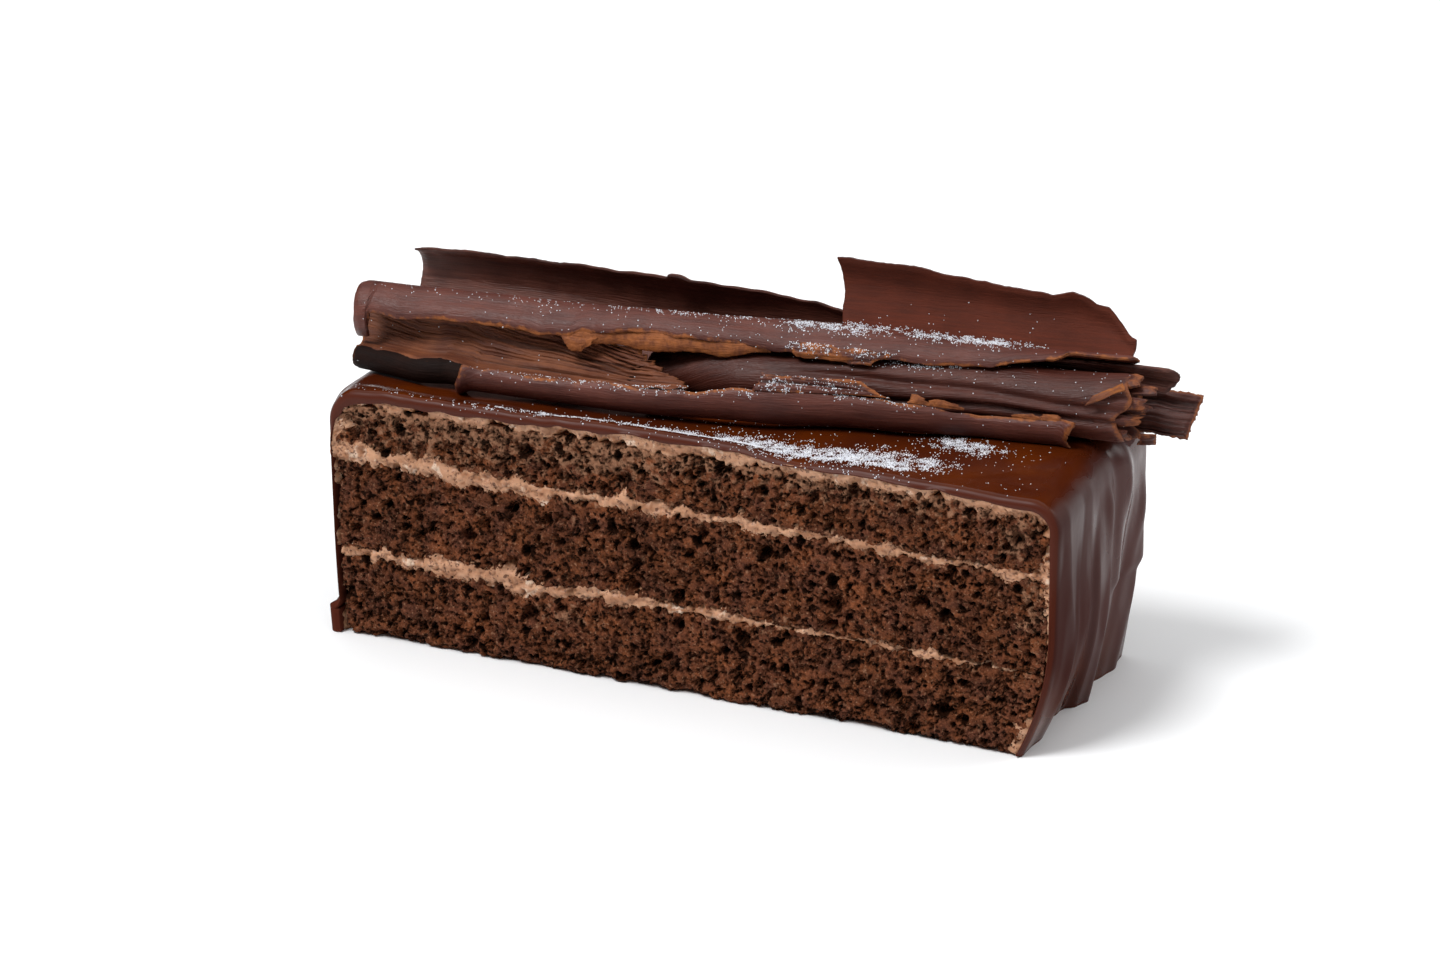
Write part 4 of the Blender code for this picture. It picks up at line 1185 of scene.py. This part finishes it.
front = rolled(
    lambda v: -41.4 + 2.8 * v, lambda v: 54.2 + 0.9 * v, front_section, (250, 40),
    (0.3, 0.5, 1.5, 1.0), 500, bites=(0.2, 0.6, 0.5, 0.9), dust=front_dust, hollow_side=UNDER_SIDE,
    dent=front_dent
)
tab = rolled(
    lambda v: 8.0 + 0.8 * v, lambda v: 28.0 - 5.0 * v, tab_section, (80, 20),
    (0.6, 1.2, 0.8, 1.6), 520, bites=(0.0, 0.5, 0.4, 0.8), thick=0.6, groove=1.3,
    dust=lambda x, v: 0.4 + wander(x, 4.0, 0.35), hollow_side=NO_SIDE
)
flakes = [
    rolled(
        lambda v, at=at: at + 0.6 * v, lambda v, at=at, size=size: at + size - 1.2 * v, flake_section,
        (44, 10), ALL_TORN, 540 + round(at), bites=(0.1, 0.7, 0.6, 0.9), thick=0.4, hollow_side=NO_SIDE
    )
    for at, size in ((30.5, 3.6), (33.5, 5.2), (45.5, 5.0), (49.5, 4.4))
]
curl("curl_front", skin_chocolate, matt_chocolate, "chocolate", [front, tab, *flakes])


# The smooth roll between crest and front roll, wound inwards, with long creases. Its right end has broken
# into splinters.
WOUND_FROM = -60.0  # angles where the roll's outer and inner edges lie
WOUND_TO = 500.0
SPLINTER_START = 57.0
SPLINTERS = (  # length, angle, angular width, share of the roll's radius
    (6.4, 70.0, 54.0, 0.84), (8.8, 84.0, 40.0, 0.62), (7.8, 128.0, 36.0, 0.76), (8.2, 116.0, 66.0, 0.46),
    (7.0, 60.0, 270.0, 0.22), (7.2, 172.0, 34.0, 0.7), (5.8, 206.0, 40.0, 0.82),
)
CREASES = (  # angle of each long crease along X
    ((-13, 128.0), (20, 140.0), (45, 158.0), (63, 166.0)),
    ((-13, 205.0), (20, 190.0), (50, 186.0), (63, 190.0)),
)


def middle_section(x, v):
    return arc(middle_line(x), middle_radius(x) * (1.08 - 0.42 * v), WOUND_FROM, WOUND_TO, v)


def middle_dent(x, v):
    angle = WOUND_FROM + (WOUND_TO - WOUND_FROM) * v
    depth = sum(np.exp(-(((angle - along(x, *crease)) / 8.0) ** 2)) for crease in CREASES)
    shallow = 0.3 * np.sin(angle / 17.0 + x / 6.0) * ease(x, -5.0, 10.0)
    return 0.85 * depth * ease(x, 2.0, 24.0) + 0.45 * shallow


def middle_dust(x, v):
    return 0.06 * ease(x, 0.0, 15.0) + 0.7 * np.exp(-(((v - 0.3) / 0.02) ** 2) - ((x - 31.0) / 9.0) ** 2)


def splinter_shell(size, angle, width, share, seed):
    """A long splinter at the roll's right end, which bends out or in as it goes."""
    slant = np.sin(seed * 1.7)

    def section(x, v):
        out = x - SPLINTER_START
        radius = middle_radius(x) * share + 0.02 * out**2 * slant
        return arc(middle_line(x), radius, angle, angle + width * (1.0 - 0.03 * out), v)

    return rolled(
        lambda v: SPLINTER_START, lambda v: SPLINTER_START + size + slant * (v - 0.5) * 1.2, section,
        (36, 26), (0.5, 0.5, 0.0, 2.9), seed, bites=(0.3, 0.3, 0.2, 0.8), thick=1.1, groove=0.25,
        hollow_side=NO_SIDE
    )


middle = rolled(
    lambda v: -13.0, lambda v: 61.5 + 0.9 * np.sin(23.0 * v) + 0.6 * np.sin(52.0 * v + 1.0), middle_section,
    (190, 150), (0.3, 0.3, 0.4, 0.8), 600, bites=(0.2, 0.2, 0.3, 1.1), thick=0.65, dent=middle_dent,
    dust=middle_dust
)
splinters = [splinter_shell(*splinter, 640 + 7 * number) for number, splinter in enumerate(SPLINTERS)]
curl("curl_middle", shaded_roll_chocolate, shaded_roll_chocolate, "chocolate", [middle, *splinters])


# Broken pieces at the right end: a strip inside the crest, a square-ended plate, a chip and a splinter.
def tip_section(x, v):
    return arc(crest_line(x), 3.0, -25.0, 74.0, v)


def end_section(x, v):
    return 8.9 + 6.0 * v + 0.5 * np.sin(np.pi * v), REST + 0.25 + 5.0 * v


def chip_section(x, v):
    return 3.6 + 2.6 * v, REST - 0.6 + 2.4 * (1.0 - v) + 0.15 * (x - 64.0)


def sliver_section(x, v):
    turn = along(x, (56.5, 152), (62.5, 128))
    return arc(middle_line(x), middle_radius(x) + 0.8 + 0.035 * (x - 57.5) ** 2, turn + 7.0, turn - 7.0, v)


tip = rolled(
    lambda v: 47.5, lambda v: 66.0 + 2.2 * np.sin(3.0 * v), tip_section, (80, 30),
    (0.3, 0.3, 0.3, 0.8), 700, bites=(0.4, 0.4, 0.0, 0.8), thick=0.7, groove=1.0, hollow_side=BOTH_SIDES
)
curl("shard_tip", torn_chocolate, lit_trough_chocolate, "torn_chocolate", [tip], **{"Groove width": 0.9})
plate = rolled(
    lambda v: 52.0, lambda v: 70.2 + 0.9 * v, end_section, (110, 44),
    (0.3, 0.5, 0.3, 0.4), 720, bites=(0.4, 0.3, 0.0, 0.3), thick=1.0, groove=0.9, hollow_side=BOTH_SIDES
)
curl(
    "shard_end", shaded_roll_chocolate, shaded_roll_chocolate, "torn_chocolate", [plate],
    **{"Groove width": 1.4, "Groove depth": 0.7, "Grain depth": 0.9}
)
chip = rolled(
    lambda v: 64.4 - v, lambda v: 67.0 - 0.8 * v, chip_section, (20, 20),
    (0.6, 0.6, 0.6, 0.6), 740, bites=(0.4, 0.4, 0.3, 0.3), groove=0.6
)
curl("chip_end", shaded_roll_chocolate, shaded_roll_chocolate, "torn_chocolate", [chip])
splinter = rolled(
    lambda v: 56.5 + v, lambda v: 62.5 - v, sliver_section, (36, 10),
    (0.6, 0.6, 0.6, 0.6), 760, bites=(0.3, 0.3, 0.3, 0.3), thick=0.5
)
curl("sliver", shaded_roll_chocolate, torn_chocolate, "torn_chocolate", [splinter])


# ==== Icing sugar ====
# Fine sugar, sieved over the heap from above. It lies thick in a streak along the front of the glaze and in
# the folds of the curls, clumped into small heaps, and thins out into single grains.

# Icing sugar: matt white with the faint blue cast of fine ice.
sugar_white, tree, shader, here = new_material("icing_sugar_sieved")
clumped = mottle(tree, here, 0.8 * MM, 2.0, 0.35, 0.65)
tone = add(
    tree, "ShaderNodeMix", {"Factor": clumped, "A": linear("#d2d7e2"), "B": linear("#f2f5fb")},
    data_type="RGBA"
)
feed(tree, shader, {
    "Base Color": tone, "Roughness": 0.7, "IOR": 1.5, "Subsurface Weight": 0.2,
    "Subsurface Radius": (1.0, 1.0, 1.0), "Subsurface Scale": 0.3 * MM
})

sieve, given, in_mm = new_tree(
    "sieved sugar", ["Material"], **{"Grains per square mm": 50.0, "Grain size": 0.115, "Clump size": 1.1}
)
closeness = add(sieve, "ShaderNodeMath", {0: 1.0, 1: given.outputs["Clump size"]}, operation="DIVIDE")
heaps = add(
    sieve, "ShaderNodeTexNoise", {"Vector": in_mm, "Scale": closeness, "Detail": 3.0, "Roughness": 0.65}
)
dust = add(sieve, "GeometryNodeInputNamedAttribute", {"Name": "dust"}, data_type="FLOAT")
reach = add(sieve, "ShaderNodeMath", {0: dust, 1: 0.23, 2: 0.32}, operation="MULTIPLY_ADD")
heaps = add(sieve, "ShaderNodeMath", {0: reach, 1: heaps}, operation="SUBTRACT")
heaps = add(sieve, "ShaderNodeMapRange", {0: heaps, 1: -0.03, 2: 0.06}, interpolation_type="SMOOTHSTEP")
sparse = add(sieve, "ShaderNodeMath", {0: dust, 1: 0.06}, operation="MULTIPLY")
heaps = add(sieve, "ShaderNodeMath", {0: heaps, 1: dust, 2: sparse}, operation="MULTIPLY_ADD")
upwards = add(sieve, "ShaderNodeSeparateXYZ", {0: add(sieve, "GeometryNodeInputNormal")})
upwards = add(sieve, "ShaderNodeMapRange", {0: upwards.outputs["Z"], 1: -0.1, 2: 0.35})
heaps = add(sieve, "ShaderNodeMath", {0: heaps, 1: upwards}, operation="MULTIPLY")
amount = add(
    sieve, "ShaderNodeMath", {0: given.outputs["Grains per square mm"], 1: 1 / MM**2}, operation="MULTIPLY"
)
amount = add(sieve, "ShaderNodeMath", {0: amount, 1: heaps}, operation="MULTIPLY")
spots = add(
    sieve, "GeometryNodeDistributePointsOnFaces",
    {"Mesh": given.outputs["Geometry"], "Density": amount, "Seed": 5}, distribute_method="RANDOM"
)
grain = add(sieve, "GeometryNodeMeshIcoSphere", {"Radius": MM, "Subdivisions": 1})
turn = add(
    sieve, "FunctionNodeRandomValue", {0: (0.0, 0.0, 0.0), 1: (6.0, 6.0, 6.0), "Seed": 2},
    data_type="FLOAT_VECTOR"
)
size = add(
    sieve, "FunctionNodeRandomValue", {0: (0.4, 0.4, 0.35), 1: (1.25, 1.25, 1.0), "Seed": 3},
    data_type="FLOAT_VECTOR"
)
size = add(sieve, "ShaderNodeVectorMath", {0: size, "Scale": given.outputs["Grain size"]}, operation="SCALE")
shape = add(
    sieve, "GeometryNodeInstanceOnPoints",
    {"Points": spots, "Instance": grain, "Rotation": turn, "Scale": size}
)
end_tree(sieve, given, shape)


def glaze_dust(x, y):
    """How thick the sugar lies on the glaze: a streak along the front, a second heap and single grains."""
    streak = along(x, (-35, -19.2), (-14, -17.8), (1, -16.4), (18, -16.4), (33, -15.0), (42, -12.0))
    width = along(x, (-30, 1.5), (-12, 2.0), (0, 2.6), (12, 4.2), (30, 4.6), (40, 3.4), (46, 2.2))
    amount = along(
        x, (-42, 0.15), (-30, 0.6), (-10, 0.7), (0, 0.8), (8, 1.0), (36, 1.0), (43, 0.2), (48, 0.0)
    )
    dust = amount * np.exp(-(((y - streak) / width) ** 2)) + 1.1 * hump(x, y, 40.0, -4.2, 6.5, 3.0)
    single = 0.09 * ease(x, -40.0, 0.0) * (1.0 - 0.6 * ease(x, 30.0, 44.0)) * (1.0 - ease(x, 50.0, 56.0))
    return np.maximum(dust, single * (1.0 - ease(y, 0.0, 4.0)))


def sugared(piece, name, **sizes):
    """The sugar that lies on a piece, as a piece of its own."""
    sugar = new_object(name, piece.data.copy())
    run_tree(sugar, sieve, Material=sugar_white, **sizes)
    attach(sugar, "root")


glaze_points = rings.reshape(-1, 3)
on_top = (glaze_points[:, 2] > GLAZE_LEVEL - 1.5) & (np.arange(len(glaze_points)) < outer_count * length)
dust = glaze_dust(glaze_points[:, 0], glaze_points[:, 1]) * on_top
write_mark(glaze.data, "dust", dust)
sugared(glaze, "sugar_on_glaze", **{"Clump size": 1.5})
for name in ("curl_crest", "curl_front", "curl_grooved", "curl_middle"):
    sugared(bpy.data.objects[name + "_scraped"], "sugar_on_" + name, **{"Clump size": 1.0})


# ==== Floor, light and camera ====
# A white table under a white ceiling, with a window to the upper left in front, a weaker one behind to the
# right, and a dim room beyond. Behind the table stands a white wall, which is seen, and mirrored low down,
# but throws no light on the cake.

TABLE_REACH = 3.0
ROOM_STRENGTH = 0.03
WALL_BRIGHTNESS = 0.93
WALL_MIRRORED = 0.8
CEILING_POWER = 2.0
WINDOW_POWER = 2.3
SIDE_POWER = 0.8
WINDOW_PLACE = (-0.33, -0.46, 0.83)
SIDE_PLACE = (0.72, 0.6, 0.4)
CAMERA_LENS = 83.4
CAMERA_PLACE = (0.188353, -0.446264, 0.223127)
CAMERA_AIM = (-0.36388, 0.85351, -0.37299)

floor_mesh = bpy.data.meshes.new("table")
corners = [(TABLE_REACH * x, TABLE_REACH * y, 0.0) for x, y in ((-1, -1), (1, -1), (1, 1), (-1, 1))]
floor_mesh.from_pydata(corners, [], [(0, 1, 2, 3)])
floor = new_object("table", floor_mesh)
table_white, tree, shader, here = new_material("white_laminate")
cloud = add(tree, "ShaderNodeTexNoise", {"Vector": here, "Scale": 12.0, "Detail": 2.0})
tone = add(
    tree, "ShaderNodeMix", {"Factor": cloud, "A": linear("#f6f7f8"), "B": linear("#f8f9fa")},
    data_type="RGBA"
)
feed(tree, shader, {"Base Color": tone, "Roughness": 0.7, "Specular IOR Level": 0.2})
floor_mesh.materials.append(table_white)

world = bpy.data.worlds.new("dim_studio")
bpy.context.scene.world = world
world.use_nodes = True
sky = world.node_tree
ray = add(sky, "ShaderNodeLightPath")
height = add(sky, "ShaderNodeSeparateXYZ", {0: add(sky, "ShaderNodeTexCoord").outputs["Generated"]})
low = add(sky, "ShaderNodeMapRange", {0: height.outputs["Z"], 1: 0.08, 2: 0.22, 3: WALL_MIRRORED, 4: 0.0})
low = add(sky, "ShaderNodeMath", {0: low, 1: ray.outputs["Is Glossy Ray"]}, operation="MULTIPLY")
front = add(sky, "ShaderNodeMapRange", {0: height.outputs["Y"], 1: -0.6, 2: 0.4, 3: 1.0, 4: 0.3})
low = add(sky, "ShaderNodeMath", {0: low, 1: front}, operation="MULTIPLY")
seen = add(sky, "ShaderNodeMath", {0: low, 1: ray.outputs["Is Camera Ray"]}, operation="MAXIMUM")
seen = add(sky, "ShaderNodeMapRange", {0: seen, 3: ROOM_STRENGTH, 4: WALL_BRIGHTNESS})
feed(sky, sky.nodes["Background"], {"Color": linear("#f4f7fc"), "Strength": seen})


def lamp(name, place, spread, power):
    """A soft light from far away, over the whole table evenly. place is where it comes from."""
    light = bpy.data.lights.new(name, "SUN")
    light.angle = math.radians(spread)
    light.energy = power
    made = new_object(name, light)
    made.location = place
    made.rotation_euler = (-made.location).to_track_quat("-Z", "Y").to_euler()


lamp("white_ceiling", (0.0, 0.0, 1.0), 100.0, CEILING_POWER)
lamp("window", WINDOW_PLACE, 20.0, WINDOW_POWER)
lamp("side_window", SIDE_PLACE, 25.0, SIDE_POWER)

camera_data = bpy.data.cameras.new("camera")
camera_data.lens = CAMERA_LENS
camera_data.sensor_width = 36.0
camera = new_object("camera", camera_data)
camera.location = CAMERA_PLACE
camera.rotation_euler = Vector(CAMERA_AIM).to_track_quat("-Z", "Y").to_euler()
bpy.context.scene.camera = camera
bpy.context.scene.view_settings.view_transform = "Standard"
